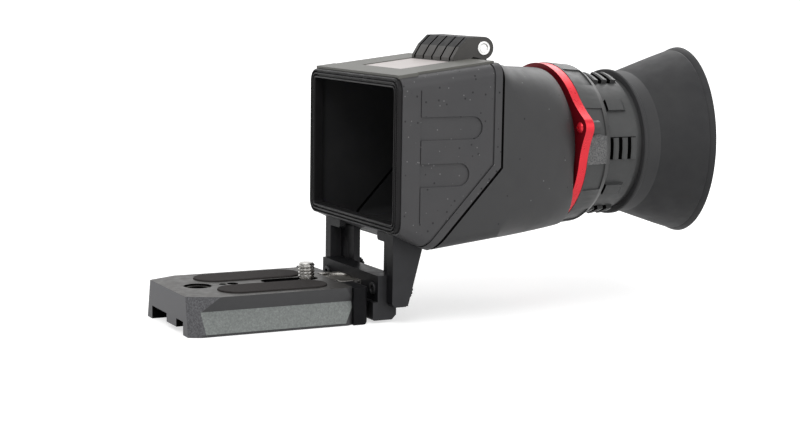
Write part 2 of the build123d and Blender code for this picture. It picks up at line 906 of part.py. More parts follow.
def neck_screw_holes(radius):
    start = (neck_screw_place, row_y(flange_front - overrun / 3), eye_z)
    hole = rod(start, (0, 1, 0), radius, overrun / 3 + flange_thickness + neck_screw_bite)
    return Compound(children=[about_eye(hole, turn) for turn in neck_screw_places()])


def make_neck_screws():
    seat = row_y(flange_front - neck_plug_length)
    length = neck_plug_length + flange_thickness + neck_screw_bite
    shank = rod((neck_screw_place, seat, eye_z), (0, 1, 0), neck_screw_radius, length)
    head = rod((neck_screw_place, seat, eye_z), (0, -1, 0), neck_screw_head, neck_screw_head_height)
    screw = shank + head
    return Compound(children=[about_eye(screw, turn) for turn in neck_screw_places()])


# Flange with two ears
def ear_angles():
    return (ear_angle, ear_angle + 180)


def flange_outline():
    """A disc with two ears and a hollow each side of every ear."""
    disc = Circle(flange_radius)
    hollow = waist_radius
    reach = ear_centre_radius
    ring_reach = flange_radius + hollow
    spread_cosine = (reach ** 2 + ring_reach ** 2 - (ear_radius + hollow) ** 2) / (2 * reach * ring_reach)
    spread = math.degrees(math.acos(spread_cosine))
    touch = reach + (ring_reach * spread_cosine - reach) * ear_radius / (ear_radius + hollow)
    shape = disc
    for angle in ear_angles():
        ear = Rot(0, 0, angle) * Pos(reach, 0) * Circle(ear_radius)
        web_points = [(0, 0)]
        for side in (-1, 1):
            turn = math.radians(side * spread)
            web_points.append((ring_reach * math.cos(turn), ring_reach * math.sin(turn)))
        web = Rot(0, 0, angle) * make_face(Polyline(*web_points, close=True))
        for side in (-1, 1):
            centre = Rot(0, 0, angle + side * spread) * Pos(ring_reach, 0)
            web -= centre * Circle(hollow)
        beyond = Rectangle(2 * hollow, 4 * hollow, align=(Align.MIN, Align.CENTER))
        far = Rot(0, 0, angle) * Pos(touch, 0) * beyond
        shape += web - far + ear
    return shape


def eye_plane(depth):
    """A plane across the optical axis, seen from the camera's side."""
    return Plane(origin=(0, row_y(depth), eye_z), x_dir=(1, 0, 0), z_dir=(0, -1, 0))


def make_flange_ring():
    face = eye_plane(flange_front) * flange_outline()
    ring = extrude(face, flange_thickness, dir=(0, 1, 0))
    ring -= eye_rod(flange_front - flange_thickness, flange_bore, 3 * flange_thickness)
    for angle in ear_angles():
        hole = rod((ear_centre_radius, row_y(0), eye_z), (0, 1, 0), ear_screw_shank, flange_front + overrun)
        ring -= about_eye(hole, angle)
    return ring - neck_screw_holes(neck_screw_radius + running_gap)


def make_flange_screws():
    """Two low-domed screws in the ears, driven from the camera's side."""
    screws = []
    for angle in ear_angles():
        x = ear_centre_radius
        front = row_y(flange_front)
        shank = rod((x, front, eye_z), (0, 1, 0), ear_screw_shank, flange_thickness + base_ear_depth)
        ball = (ear_screw_radius ** 2 + ear_screw_dome ** 2) / (2 * ear_screw_dome)
        dome = Pos(x, front + ball - ear_screw_dome, eye_z) * Sphere(ball)
        dome &= box(x - ball, x + ball, front - ball, front, eye_z - ball, eye_z + ball)
        socket = rod((x, front - ear_screw_dome, eye_z), (0, 1, 0), ear_screw_shank * 2 / 3, ear_screw_dome)
        screws.append(about_eye(dome + shank - socket, angle))
    return Compound(children=screws)


def make_focus_base():
    """The fixed ring with raised pads round it, and the sleeve that guides the lens cell."""
    ring_start = flange_rear
    rear_radius = base_ring_radius - base_ring_taper
    base = turned([
        (sleeve_start, sleeve_inner),
        (sleeve_start, sleeve_outer),
        (ring_start, sleeve_outer),
        (ring_start, base_ring_radius),
        (base_ring_end, rear_radius),
        (base_slope_end, base_slope_radius),
        (base_slope_end, sleeve_outer),
        (sleeve_end, sleeve_outer),
        (sleeve_end, sleeve_inner),
    ])
    skin = turned([
        (ring_start + base_pad_rise, base_ring_radius - base_pad_rise),
        (ring_start + base_pad_rise, base_ring_radius + overrun),
        (base_ring_end, base_ring_radius + overrun),
        (base_ring_end, rear_radius - base_pad_rise),
    ])
    for index in range(base_pads):
        base -= about_eye(skin & arc_wedge(180 / base_pads), 360 * (index + 1 / 2) / base_pads)
    for angle in ear_angles():
        lug = rod((ear_centre_radius, row_y(ring_start), eye_z), (0, 1, 0), ear_lug_radius, ear_lug_length)
        base += about_eye(lug - eye_rod(ring_start, sleeve_outer, ear_lug_length), angle)
    base -= neck_screw_holes(neck_screw_radius)
    slot_start = cell_middle() - lens_travel - 2 * guide_pin_radius
    slot_length = 2 * lens_travel + 4 * guide_pin_radius
    half = guide_pin_radius + slide_gap
    for index in range(guide_pin_count):
        slot = box(sleeve_inner - cell_lip, sleeve_outer + running_gap, row_y(slot_start),
                   row_y(slot_start + slot_length), eye_z - half, eye_z + half)
        base -= about_eye(slot, 360 * index / guide_pin_count + 90)
    for angle in ear_angles():
        hole = rod((ear_centre_radius, row_y(flange_front), eye_z), (0, 1, 0), ear_screw_shank,
                   flange_thickness + base_ear_depth)
        base -= about_eye(hole, angle)
    return base


def cell_middle():
    return barrel_start + cam_behind + cam_width / 2


def make_focus_barrel():
    barrel = turned([
        (barrel_start, barrel_bore),
        (barrel_start, barrel_radius),
        (barrel_groove_start, barrel_radius),
        (barrel_groove_start, barrel_groove_radius),
        (cup_start + cup_lip_width, barrel_groove_radius),
        (cup_start + cup_lip_width, barrel_neck_radius),
        (barrel_end, barrel_neck_radius),
        (barrel_end, barrel_lip - cell_lip),
        (sleeve_end + slide_gap, barrel_lip - cell_lip),
        (sleeve_end + slide_gap, barrel_bore),
    ])
    cam_start = cell_middle() - cam_width / 2
    cam = turned([
        (cam_start, barrel_bore - cam_depth),
        (cam_start, barrel_bore + cam_depth),
        (cam_start + cam_width, barrel_bore + cam_depth),
        (cam_start + cam_width, barrel_bore - cam_depth),
    ])
    barrel -= cam
    for index in range(grip_groups):
        turn = 360 * index / grip_groups
        barrel -= about_eye(grip_pocket(), turn)
        for rib in range(grip_ribs):
            barrel += about_eye(grip_rib(grip_start + rib * grip_rib_pitch), turn)
        barrel += about_eye(stop_pad(), turn + 180 / grip_groups)
    return barrel


def arc_wedge(arc):
    """A wedge of the given arc about the optical axis, centred on +X."""
    reach = 2 * cup_rim_radius
    half = math.radians(arc / 2)
    corner = (reach * math.cos(half), reach * math.sin(half))
    points = [(0, 0), corner, (corner[0], -corner[1])]
    face = eye_plane(0) * make_face(Polyline(*points, close=True))
    return extrude(face, 2 * cup_rim_depth, dir=(0, 1, 0))


def grip_pocket():
    """The shallow pocket that one group of ribs stands in."""
    front = grip_start - grip_pocket_edge
    rear = grip_start + (grip_ribs - 1) * grip_rib_pitch + grip_rib_width + grip_pocket_edge
    low = barrel_radius - grip_pocket_depth
    ring = turned([(front, low), (front, cup_lip_radius), (rear, cup_lip_radius), (rear, low)])
    return ring & arc_wedge(grip_pocket_arc)


def grip_rib(depth):
    """One low-crowned rib across the grip."""
    low = barrel_radius - grip_pocket_depth - running_gap
    ring = turned([
        (depth, low),
        (depth, barrel_radius + grip_rib_rise * 3 / 4),
        (depth + grip_rib_width / 4, barrel_radius + grip_rib_rise),
        (depth + grip_rib_width, barrel_radius + grip_rib_rise * 3 / 4),
        (depth + grip_rib_width, low),
    ])
    return ring & arc_wedge(grip_rib_arc)


def stop_pad():
    low = barrel_radius - running_gap
    ring = turned([
        (grip_start - slide_gap, low),
        (grip_start - slide_gap, barrel_radius + stop_pad_rise),
        (grip_start + stop_pad_length * 4 / 5, barrel_radius + stop_pad_rise),
        (grip_start + stop_pad_length, low),
    ])
    return ring & arc_wedge(stop_pad_arc)


def cup_ring(depth, radius):
    """A disc across the cup's funnel, turned about the upright more the farther back it is."""
    share = (depth - cup_collar_end) / (cup_rim_depth - cup_collar_end)
    tilt = math.radians(cup_tilt * share)
    place = Plane(
        origin=(0, row_y(depth), eye_z),
        x_dir=(math.cos(tilt), -math.sin(tilt), 0),
        z_dir=(-math.sin(tilt), -math.cos(tilt), 0),
    )
    return place * Circle(radius)


def make_eyecup():
    """A collar on the barrel's neck and a funnel whose rim is nearer the hood on the +X side."""
    inner_start = cup_start + cup_lip_width
    collar = turned([
        (cup_start, barrel_groove_radius + running_gap),
        (cup_start, cup_lip_radius),
        (inner_start, cup_lip_radius),
        (inner_start, cup_collar_radius),
        (cup_collar_end, cup_collar_radius),
        (cup_collar_end, barrel_neck_radius + running_gap),
        (inner_start, barrel_neck_radius + running_gap),
        (inner_start, barrel_groove_radius + running_gap),
    ])
    cup_end = cup_rim_depth + cup_rim_wall / 2
    funnel = loft([
        cup_ring(cup_collar_end, cup_collar_radius),
        cup_ring(cup_flare_a_depth, cup_flare_a_radius),
        cup_ring(cup_flare_b_depth, cup_flare_b_radius),
        cup_ring(cup_rim_front, cup_rim_front_radius),
        cup_ring(cup_rim_depth, cup_rim_radius),
        cup_ring(cup_end, cup_rim_radius - cup_rim_wall),
    ], ruled=True)
    cavity = loft([
        cup_ring(cup_seat_end, barrel_neck_radius + running_gap),
        cup_ring(cup_flare_a_depth, cup_flare_a_radius - cup_wall),
        cup_ring(cup_flare_b_depth, cup_flare_b_radius - cup_wall),
        cup_ring(cup_rim_front, cup_rim_front_radius - cup_wall),
        cup_ring(cup_end + running_gap, cup_rim_radius - cup_rim_wall - cup_rim_land),
    ], ruled=True)
    seat = eye_rod(inner_start, barrel_neck_radius + running_gap, cup_seat_length)
    return collar + funnel - cavity - seat


# Optics
def make_lens_cell():
    cell = turned([
        (cell_start, cell_bore),
        (cell_start, cell_outer),
        (cell_end, cell_outer),
        (cell_end, front_lens_radius + running_gap),
        (cell_start + cell_lip, front_lens_radius + running_gap),
        (cell_start + cell_lip, cell_bore),
    ])
    return cell - guide_rods(cell_bore, guide_pin_tip)


def lens(depth, radius, edge, bulge):
    """A lens with a flat front face, domed inside its rim towards the eye."""
    dome = radius - lens_land
    ball = (dome ** 2 + bulge ** 2) / (2 * bulge)
    rear = Pos(0, row_y(depth + edge + bulge - ball), eye_z) * Sphere(ball)
    rear &= eye_rod(depth + edge / 2, dome, bulge + edge)
    return eye_rod(depth, radius, edge) + rear


def front_lens_depth():
    return cell_start + cell_lip


def rear_lens_depth():
    return front_lens_depth() + front_lens_edge + lens_gap


def ring_piece(start, end, outer, inner):
    return turned([(start, inner), (start, outer), (end, outer), (end, inner)])


def guide_rods(start, end):
    """Radial rods of the guide pins' size, from one distance off the axis to another."""
    one = rod((start, row_y(cell_middle()), eye_z), (1, 0, 0), guide_pin_radius, end - start)
    turns = [360 * index / guide_pin_count + 90 for index in range(guide_pin_count)]
    return Compound(children=[about_eye(one, turn) for turn in turns])


# Base plate
def plate_profile(inset_share):
    """Half of the plate's end outline (x, z), from the top down."""
    return [
        (plate_half_width, plate_top_z),
        (plate_half_width - waist_inset * inset_share, waist_z),
        (plate_half_width, plate_bottom_z + base_lip),
        (plate_half_width - base_lip_inset, plate_bottom_z + base_lip),
        (plate_half_width - base_lip_inset, plate_bottom_z),
    ]


def front_corner(z):
    """The corner cut off the plate's front at a height, smaller towards the underside."""
    share = 1 - chamfer_slant_share * (plate_top_z - z) / chamfer_width
    narrow = plate_half_width - chamfer_width * share
    run = chamfer_front_length * share
    slope_end = overrun * share
    points = [
        (narrow, plate_front_y),
        (plate_half_width, plate_front_y + run),
        (plate_half_width + chamfer_width * slope_end / run, plate_front_y + run + slope_end),
        (plate_half_width + overrun, plate_front_y - overrun),
        (narrow, plate_front_y - overrun),
    ]
    return Pos(0, 0, z) * make_face(Polyline(*points, close=True))


def make_base_plate():
    half = plate_profile(1)
    outline = half + [(-x, z) for x, z in reversed(half)]
    plate = front_prism(outline, plate_front_y, plate_rear_y)
    wide = plate_half_width + overrun
    rear_narrow = plate_half_width - chamfer_rear_width
    corner = loft([front_corner(plate_bottom_z - base_lip), front_corner(plate_top_z + base_lip)], ruled=True)
    rear_corner = plan_prism([
        (rear_narrow, plate_rear_y),
        (plate_half_width, plate_rear_y - chamfer_rear_length),
        (wide, plate_rear_y - chamfer_rear_length),
        (wide, plate_rear_y),
    ], plate_bottom_z - overrun, plate_top_z + overrun)
    plate -= both_sides_solid(corner)
    plate -= both_sides_solid(rear_corner)
    inner = plate_half_width - rail_width
    rail_low = centre_rail_offset - centre_rail_width / 2
    rail_high = centre_rail_offset + centre_rail_width / 2
    low = plate_bottom_z - overrun
    front = plate_front_y - overrun
    plate -= box(-inner, rail_low, front, centre_rail_end_y, low, groove_roof_z)
    plate -= box(rail_high, inner, front, centre_rail_end_y, low, groove_roof_z)
    plate -= box(rail_low, rail_high, front, centre_rail_end_y, low, centre_rail_bottom_z)
    plate -= box(-inner, inner, centre_rail_end_y, plate_rear_y - base_web, low, groove_roof_z)
    pocket_end = slot_rear_y
    plate -= slot_shape(pocket_radius, slot_front_y, pocket_end, low, pocket_roof_z)
    plate -= slot_shape(slot_radius, slot_front_y, slot_rear_y, low, plate_top_z + overrun)
    plate -= box(-tunnel_half_width, tunnel_half_width, tunnel_front_y, plate_rear_y + overrun,
                 tunnel_bottom_z, tunnel_top_z)
    plate -= rod((0, big_hole_y, low), (0, 0, 1), big_hole_radius, 2 * overrun)
    plate -= rod((0, big_hole_y, plate_top_z - big_hole_rim_depth), (0, 0, 1), big_hole_rim, overrun)
    plate -= rod((0, pin_hole_y, plate_top_z - pin_hole_depth), (0, 0, 1), pin_hole_radius, overrun)
    plate -= rod((0, small_hole_y, plate_top_z - pin_hole_depth), (0, 0, 1), small_hole_radius, overrun)
    for side in (-1, 1):
        start = (side * housing_screw_x, plate_rear_y + overrun, housing_screw_z)
        plate -= rod(start, (0, -1, 0), small_screw_radius, overrun + housing_screw_bite())
    for side in (-1, 1):
        plate -= pad_shape(side, plate_top_z - pad_sink, overrun, 0)
    return plate


def slot_shape(radius, y0, y1, z0, z1):
    """An upright slot with round ends whose end centres are at y0 and y1."""
    slot = box(-radius, radius, y0, y1, z0, z1)
    slot += rod((0, y0, z0), (0, 0, 1), radius, z1 - z0)
    slot += rod((0, y1, z0), (0, 0, 1), radius, z1 - z0)
    return slot


def pad_shape(side, z0, height, inset):
    radius = pad_width / 2
    x = side * (pad_inner_x + radius)
    pad = box(x - radius + inset, x + radius - inset, pad_front_y + radius, pad_rear_y - radius,
              z0, z0 + height)
    pad += rod((x, pad_front_y + radius, z0), (0, 0, 1), radius - inset, height)
    pad += rod((x, pad_rear_y - radius, z0), (0, 0, 1), radius - inset, height)
    return pad


def make_pad(side):
    low = plate_top_z - pad_sink
    return pad_shape(side, low, -low, slide_gap / 2)


# Camera screw, its bush and its folding ring
def bush_flange_top():
    return pocket_roof_z - running_gap


def head_top():
    return bush_flange_top() - bush_flange_thickness - running_gap


def make_screw_bush():
    top = bush_flange_top()
    neck = rod((0, 0, top), (0, 0, 1), bush_neck_radius, bush_top_z - top)
    flange = rod((0, 0, top), (0, 0, -1), bush_flange_radius, bush_flange_thickness)
    bore = rod((0, 0, top - overrun), (0, 0, 1), screw_shank_radius + running_gap, 2 * overrun)
    return neck + flange - bore


def make_camera_screw():
    thread = rod((0, 0, 0), (0, 0, 1), thread_radius, thread_top_z)
    thread = chamfer(thread.edges().sort_by(Axis.Z)[-1], thread_tip)
    shank = rod((0, 0, head_top()), (0, 0, 1), screw_shank_radius, -head_top())
    head = rod((0, 0, head_top()), (0, 0, -1), screw_head_radius, screw_head_thickness)
    low = head_top() - screw_head_thickness
    lug = box(-lug_half_width, lug_half_width, lug_y - lug_length / 2, lug_y + lug_length / 2,
              low - lug_drop, low)
    screw = thread + shank + head + lug
    pivot = (-overrun, lug_y, ring_pivot_z())
    return screw - rod(pivot, (1, 0, 0), ring_pin_radius + running_gap, 2 * overrun)


def ring_pivot_z():
    return head_top() - screw_head_thickness - lug_drop / 2


def make_finger_ring():
    z = ring_pivot_z()
    low = z - ring_thickness / 2
    ring = rod((0, 0, low), (0, 0, 1), ring_outer, ring_thickness)
    ring -= rod((0, 0, low - overrun), (0, 0, 1), ring_inner, 2 * overrun)
    arm_end = lug_y + ring_thickness / 2
    ring -= box(-overrun, overrun, arm_end, overrun, z - overrun, z + overrun)
    inner_gap = lug_half_width + slide_gap
    reach = math.sqrt(ring_outer ** 2 - arm_end ** 2)
    arm = box(inner_gap, reach, lug_y - ring_thickness / 2, arm_end, low, low + ring_thickness)
    pin = rod((slide_gap, lug_y, z), (1, 0, 0), ring_pin_radius, inner_gap)
    return ring + both_sides_solid(arm) + both_sides_solid(pin)


# Slide housing, lock and screws
def housing_screw_bite():
    return small_screw_length - (housing_rear_y - plate_rear_y - slide_gap - small_screw_head_height)


def make_slide_housing():
    front = plate_rear_y + slide_gap / 2
    body = box(-plate_half_width, plate_half_width, front, housing_rear_y, housing_bottom_z, housing_top_z)
    rear_edges = body.edges().filter_by(Axis.X).group_by(Axis.Y)[-1].sort_by(Axis.Z)
    side_edges = body.edges().filter_by(Axis.Z).group_by(Axis.Y)[-1]
    body = fillet([rear_edges[0]] + list(side_edges), housing_corner)
    body -= box(-channel_half_width, channel_half_width, front - overrun, housing_rear_y + overrun,
                tunnel_bottom_z, overrun)
    for side in (-1, 1):
        start = (side * housing_screw_x, front - overrun, housing_screw_z)
        body -= rod(start, (0, 1, 0), small_screw_radius + running_gap, 2 * overrun)
        seat = (side * housing_screw_x, housing_rear_y - small_screw_head_height, housing_screw_z)
        body -= rod(seat, (0, 1, 0), small_screw_head + slide_gap, overrun)
    lock = (-tongue_half, lock_y, lock_z())
    body -= rod(lock, (-1, 0, 0), lock_shaft_radius + running_gap, overrun)
    return body


def lock_z():
    return (tunnel_bottom_z + tongue_skin_z) / 2


def make_housing_screws():
    screws = []
    for side in (-1, 1):
        seat_y = housing_rear_y - small_screw_head_height
        x = side * housing_screw_x
        head = rod((x, seat_y, housing_screw_z), (0, 1, 0), small_screw_head, small_screw_head_height)
        head -= rod((x, seat_y + small_screw_head_height / 3, housing_screw_z), (0, 1, 0),
                    small_screw_radius * 2 / 3, overrun)
        shank = rod((x, seat_y, housing_screw_z), (0, -1, 0), small_screw_radius, small_screw_length)
        screws.append(head + shank)
    return Compound(children=screws)


def knurled(radius, length):
    """An upright knob with a fluted edge, from z zero up."""
    outline = Circle(radius)
    for index in range(knurl_count):
        outline -= Rot(0, 0, 360 * index / knurl_count) * Pos(radius, 0) * Circle(knurl_radius)
    return extrude(outline, length)


def make_slide_lock():
    knob_x = -plate_half_width - lock_knob_gap
    place = Plane(origin=(knob_x, lock_y, lock_z()), x_dir=(0, 1, 0), z_dir=(-1, 0, 0))
    knob = place * knurled(lock_knob_radius, lock_knob_length)
    tip_x = -tongue_half - slide_gap / 2
    shaft = rod((knob_x, lock_y, lock_z()), (1, 0, 0), lock_shaft_radius, tip_x - knob_x)
    return knob + shaft


# Slide tongue and crossbar
def make_slide_tongue():
    """A flat steel fork whose thicker rear end bridges the gap to the crossbar."""
    tail = tongue_tail_y
    tongue = box(-tongue_half, tongue_half, fork_front_y, tail, tongue_bottom_z, tongue_skin_z)
    tongue += box(-tongue_half, tongue_half, land_front_y, tail, tongue_skin_z - slide_gap, land_top_z)
    tongue -= box(-fork_slot_half, fork_slot_half, fork_front_y - overrun, fork_slot_end_y,
                  tongue_bottom_z - overrun, tongue_skin_z + slide_gap)
    tongue -= rod((0, fork_slot_end_y, tongue_bottom_z - overrun), (0, 0, 1), fork_slot_half,
                  overrun + tongue_skin_z - tongue_bottom_z + slide_gap)
    dish_y = land_front_y + land_dish_radius / 2
    tongue -= rod((0, dish_y, land_top_z - land_dish_cut), (0, 0, 1), land_dish_radius, overrun)
    for side in (-1, 1):
        start = (side * tongue_screw_x, tail + overrun, tongue_screw_z)
        tongue -= rod(start, (0, -1, 0), tongue_screw_radius, overrun + tongue_screw_bite)
    return tongue


def bar_body():
    outline = [
        (bar_front_y, bar_top_z),
        (bar_rear_y, bar_top_z),
        (bar_rear_y, bar_bottom_z + bar_chamfer),
        (bar_rear_y - bar_chamfer, bar_bottom_z),
        (bar_lip_front_y + bar_lip_inset, bar_bottom_z),
        (bar_lip_front_y, bar_bottom_z + bar_lip_inset),
        (bar_lip_front_y, bar_lip_top_z),
        (bar_front_y, bar_lip_top_z),
    ]
    return side_prism(outline, bar_half_width)


def make_crossbar():
    bar = bar_body()
    bar -= box(-tongue_half, tongue_half, bar_front_y - overrun, tongue_tail_y, tongue_bottom_z, land_top_z)
    seat_y = bar_rear_y - small_screw_head_height
    for side in (-1, 1):
        x = side * tongue_screw_x
        bar -= rod((x, tongue_tail_y, tongue_screw_z), (0, 1, 0), tongue_screw_radius + running_gap, overrun)
        bar -= rod((x, seat_y, tongue_screw_z), (0, 1, 0), tongue_screw_head + slide_gap, overrun)
        clamp = (side * clamp_x, bar_front_y - overrun, clamp_z)
        bar -= rod(clamp, (0, 1, 0), clamp_screw_radius + running_gap, 3 * overrun)
        bar -= rod(clamp, (0, 1, 0), clamp_head_radius + slide_gap, overrun + clamp_head_sink)
    return bar


def make_tongue_screws():
    screws = []
    for side in (-1, 1):
        x = side * tongue_screw_x
        seat_y = bar_rear_y - small_screw_head_height
        head = rod((x, seat_y, tongue_screw_z), (0, 1, 0), tongue_screw_head, small_screw_head_height)
        head -= rod((x, seat_y + small_screw_head_height / 3, tongue_screw_z), (0, 1, 0),
                    tongue_screw_radius * 2 / 3, overrun)
        length = seat_y - tongue_tail_y + tongue_screw_bite
        shank = rod((x, seat_y, tongue_screw_z), (0, -1, 0), tongue_screw_radius, length)
        screws.append(head + shank)
    return Compound(children=screws)


def clamp_front():
    return bar_front_y - clamp_head_proud


def leg_flange_front():
    return bar_rear_y + flange_front_gap


def nut_front():
    return leg_flange_front() + flange_plate + leg_slot_frame_rise + slide_gap / 2


def make_clamp_screws():
    screws = []
    for side in (-1, 1):
        x = side * clamp_x
        head_length = clamp_head_sink + clamp_head_proud
        head = rod((x, clamp_front(), clamp_z), (0, 1, 0), clamp_head_radius, head_length)
        end = nut_front() + nut_length
        shank = rod((x, clamp_front(), clamp_z), (0, 1, 0), clamp_screw_radius, end - clamp_front())
        socket = rod((x, clamp_front(), clamp_z), (0, 1, 0), clamp_socket_radius, clamp_socket_depth)
        screws.append(head + shank - socket)
    return Compound(children=screws)


def make_thumb_nut(side):
    x = side * clamp_x
    collar = rod((x, nut_front(), clamp_z), (0, 1, 0), nut_collar_radius, nut_collar_length)
    place = Plane(origin=(x, nut_front() + nut_collar_length, clamp_z), x_dir=(1, 0, 0), z_dir=(0, 1, 0))
    knob = place * knurled(nut_radius, nut_length - nut_collar_length)
    bore = rod((x, nut_front() - overrun, clamp_z), (0, 1, 0), clamp_screw_radius + running_gap, 3 * overrun)
    return collar + knob - bore


# Legs
def leg_top_z():
    return floor_z(leg_front_y) + overrun


def make_leg_right():
    top = leg_top_z()
    slope_rear = leg_rear_top_y + (leg_rear_top_y - leg_rear_bottom_y)
    side = [
        (leg_front_y, leg_bottom_z + leg_toe),
        (leg_front_y + leg_toe, leg_bottom_z),
        (leg_rear_bottom_y - leg_toe, leg_bottom_z),
        (leg_rear_bottom_y, leg_bottom_z + leg_toe),
        (leg_rear_top_y, floor_z(leg_rear_top_y)),
        (slope_rear, top),
        (leg_front_y, top),
    ]
    slab = side_prism(side, leg_outer_x)
    plate = slab & box(leg_plate_inner_x, leg_outer_x, -overrun, 3 * overrun, -overrun, top)
    y0 = leg_flange_front()
    flange = box(flange_inner_x, leg_outer_x - leg_toe, y0, y0 + flange_plate, leg_bottom_z, top)
    frame = box(clamp_x - leg_slot_half - leg_slot_frame, clamp_x + leg_slot_half + leg_slot_frame,
                y0 + flange_plate - slide_gap, y0 + flange_plate + leg_slot_frame_rise,
                leg_slot_bottom_z - leg_slot_frame, leg_slot_top_z)
    leg = plate + flange + frame
    tab = box(tab_inner_x, leg_outer_x - leg_toe, leg_front_y, leg_front_y + tab_depth,
              floor_z(leg_front_y) - tab_height, top)
    tab -= box(tab_inner_x, tab_inner_x + tab_radius, leg_front_y - overrun, leg_front_y + overrun,
               -overrun, floor_z(leg_front_y) - tab_height + tab_radius)
    tab += rod((tab_inner_x + tab_radius, leg_front_y, floor_z(leg_front_y) - tab_height + tab_radius),
               (0, 1, 0), tab_radius, tab_depth)
    leg += tab
    slot = plan_slot(leg_slot_half, leg_slot_bottom_z, leg_slot_wide_top_z, leg_slot_top_z)
    leg -= slot
    leg -= hood_skin(0, side_front_depth, seam_depth)
    leg -= box(-overrun * 2, overrun * 2, -overrun, 4 * overrun, row_z(0), 5 * overrun)
    nut_room = clamp_x + nut_radius + body_gap
    nut_top = clamp_z + nut_radius + hood_drop + body_gap
    leg -= box(leg_plate_inner_x - overrun, nut_room, nut_front(), nut_front() + overrun,
               leg_bottom_z - overrun, nut_top)
    for x, y in leg_screw_places():
        leg -= rod((x, y, floor_z(y) - leg_screw_reach()), (0, 0, 1), leg_screw_radius, overrun)
    return leg


def plan_slot(half, low_z, wide_top_z, top_z):
    """The leg's upright slot, narrowing above the clamp screw's travel."""
    points = [
        (clamp_x - half, low_z),
        (clamp_x + half, low_z),
        (clamp_x + half, wide_top_z),
        (clamp_x + leg_slot_tip_half, top_z),
        (clamp_x - leg_slot_tip_half, top_z),
        (clamp_x - half, wide_top_z),
    ]
    return front_prism(points, leg_front_y - overrun, leg_front_y + overrun)


def leg_screw_seat(y):
    return floor_z(y) + shell_wall + leg_boss_rise


def leg_screw_reach():
    return leg_screw_length - shell_wall - leg_boss_rise


def make_leg_screws():
    screws = []
    for side in (-1, 1):
        for x, y in leg_screw_places():
            seat = leg_screw_seat(y)
            head = rod((side * x, y, seat), (0, 0, 1), leg_screw_head, leg_screw_head_height)
            socket_floor = seat + leg_screw_head_height / 3
            head -= rod((side * x, y, socket_floor), (0, 0, 1), leg_screw_radius * 2 / 3, overrun)
            shank = rod((side * x, y, seat), (0, 0, -1), leg_screw_radius, leg_screw_length)
            screws.append(head + shank)
    return Compound(children=screws)


# Write every sub-part
def build():
    leg_right = make_leg_right()
    lens_two = rear_lens_depth()
    return {
        "base_plate": make_base_plate(),
        "rubber_pad_left": make_pad(-1),
        "rubber_pad_right": make_pad(1),
        "slide_housing": make_slide_housing(),
        "housing_screws": make_housing_screws(),
        "slide_lock": make_slide_lock(),
        "screw_bush": make_screw_bush(),
        "camera_screw": make_camera_screw(),
        "finger_ring": make_finger_ring(),
        "slide_tongue": make_slide_tongue(),
        "crossbar": make_crossbar(),
        "tongue_screws": make_tongue_screws(),
        "clamp_screws": make_clamp_screws(),
        "thumb_nut_left": make_thumb_nut(-1),
        "thumb_nut_right": make_thumb_nut(1),
        "leg_left": mirrored(leg_right),
        "leg_right": leg_right,
        "leg_screws": make_leg_screws(),
        "hood_shell": make_hood_shell(),
        "front_gasket": make_front_gasket(),
        "top_plate": make_top_plate(),
        "label_panel": make_label_panel(),
        "hinge_block": make_hinge_block(),
        "hinge_pin": make_hinge_pin(),
        "hinge_screws": make_hinge_screws(),
        "hood_magnets": make_magnets(seam_depth, -1),
        "rear_housing": make_rear_housing(),
        "seam_seal": make_seam_seal(),
        "light_baffle": make_baffle(),
        "housing_magnets": make_magnets(seam_depth + seam_gap, 1),
        "neck_screws": make_neck_screws(),
        "flange_ring": make_flange_ring(),
        "flange_screws": make_flange_screws(),
        "focus_base": make_focus_base(),
        "focus_barrel": make_focus_barrel(),
        "eyecup": make_eyecup(),
        "lens_cell": make_lens_cell(),
        "front_lens": lens(front_lens_depth(), front_lens_radius, front_lens_edge, front_lens_bulge),
        "lens_spacer": ring_piece(front_lens_depth() + front_lens_edge, lens_two, front_lens_radius,
                                  cell_bore),
        "rear_lens": lens(lens_two, rear_lens_radius, rear_lens_edge, rear_lens_bulge),
        "lens_retainer": ring_piece(lens_two + rear_lens_edge, lens_two + rear_lens_edge + retainer_length,
                                    rear_lens_radius, cell_bore),
        "guide_pins": guide_rods(front_lens_radius + slide_gap, guide_pin_tip),
    }


for name, shape in build().items():
    export_step(shape, f"parts/{name}.step")
    print(f"{name} {shape.volume:.0f} mm3")
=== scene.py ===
import json
import math

import bmesh
import bpy
from mathutils import Matrix, Vector


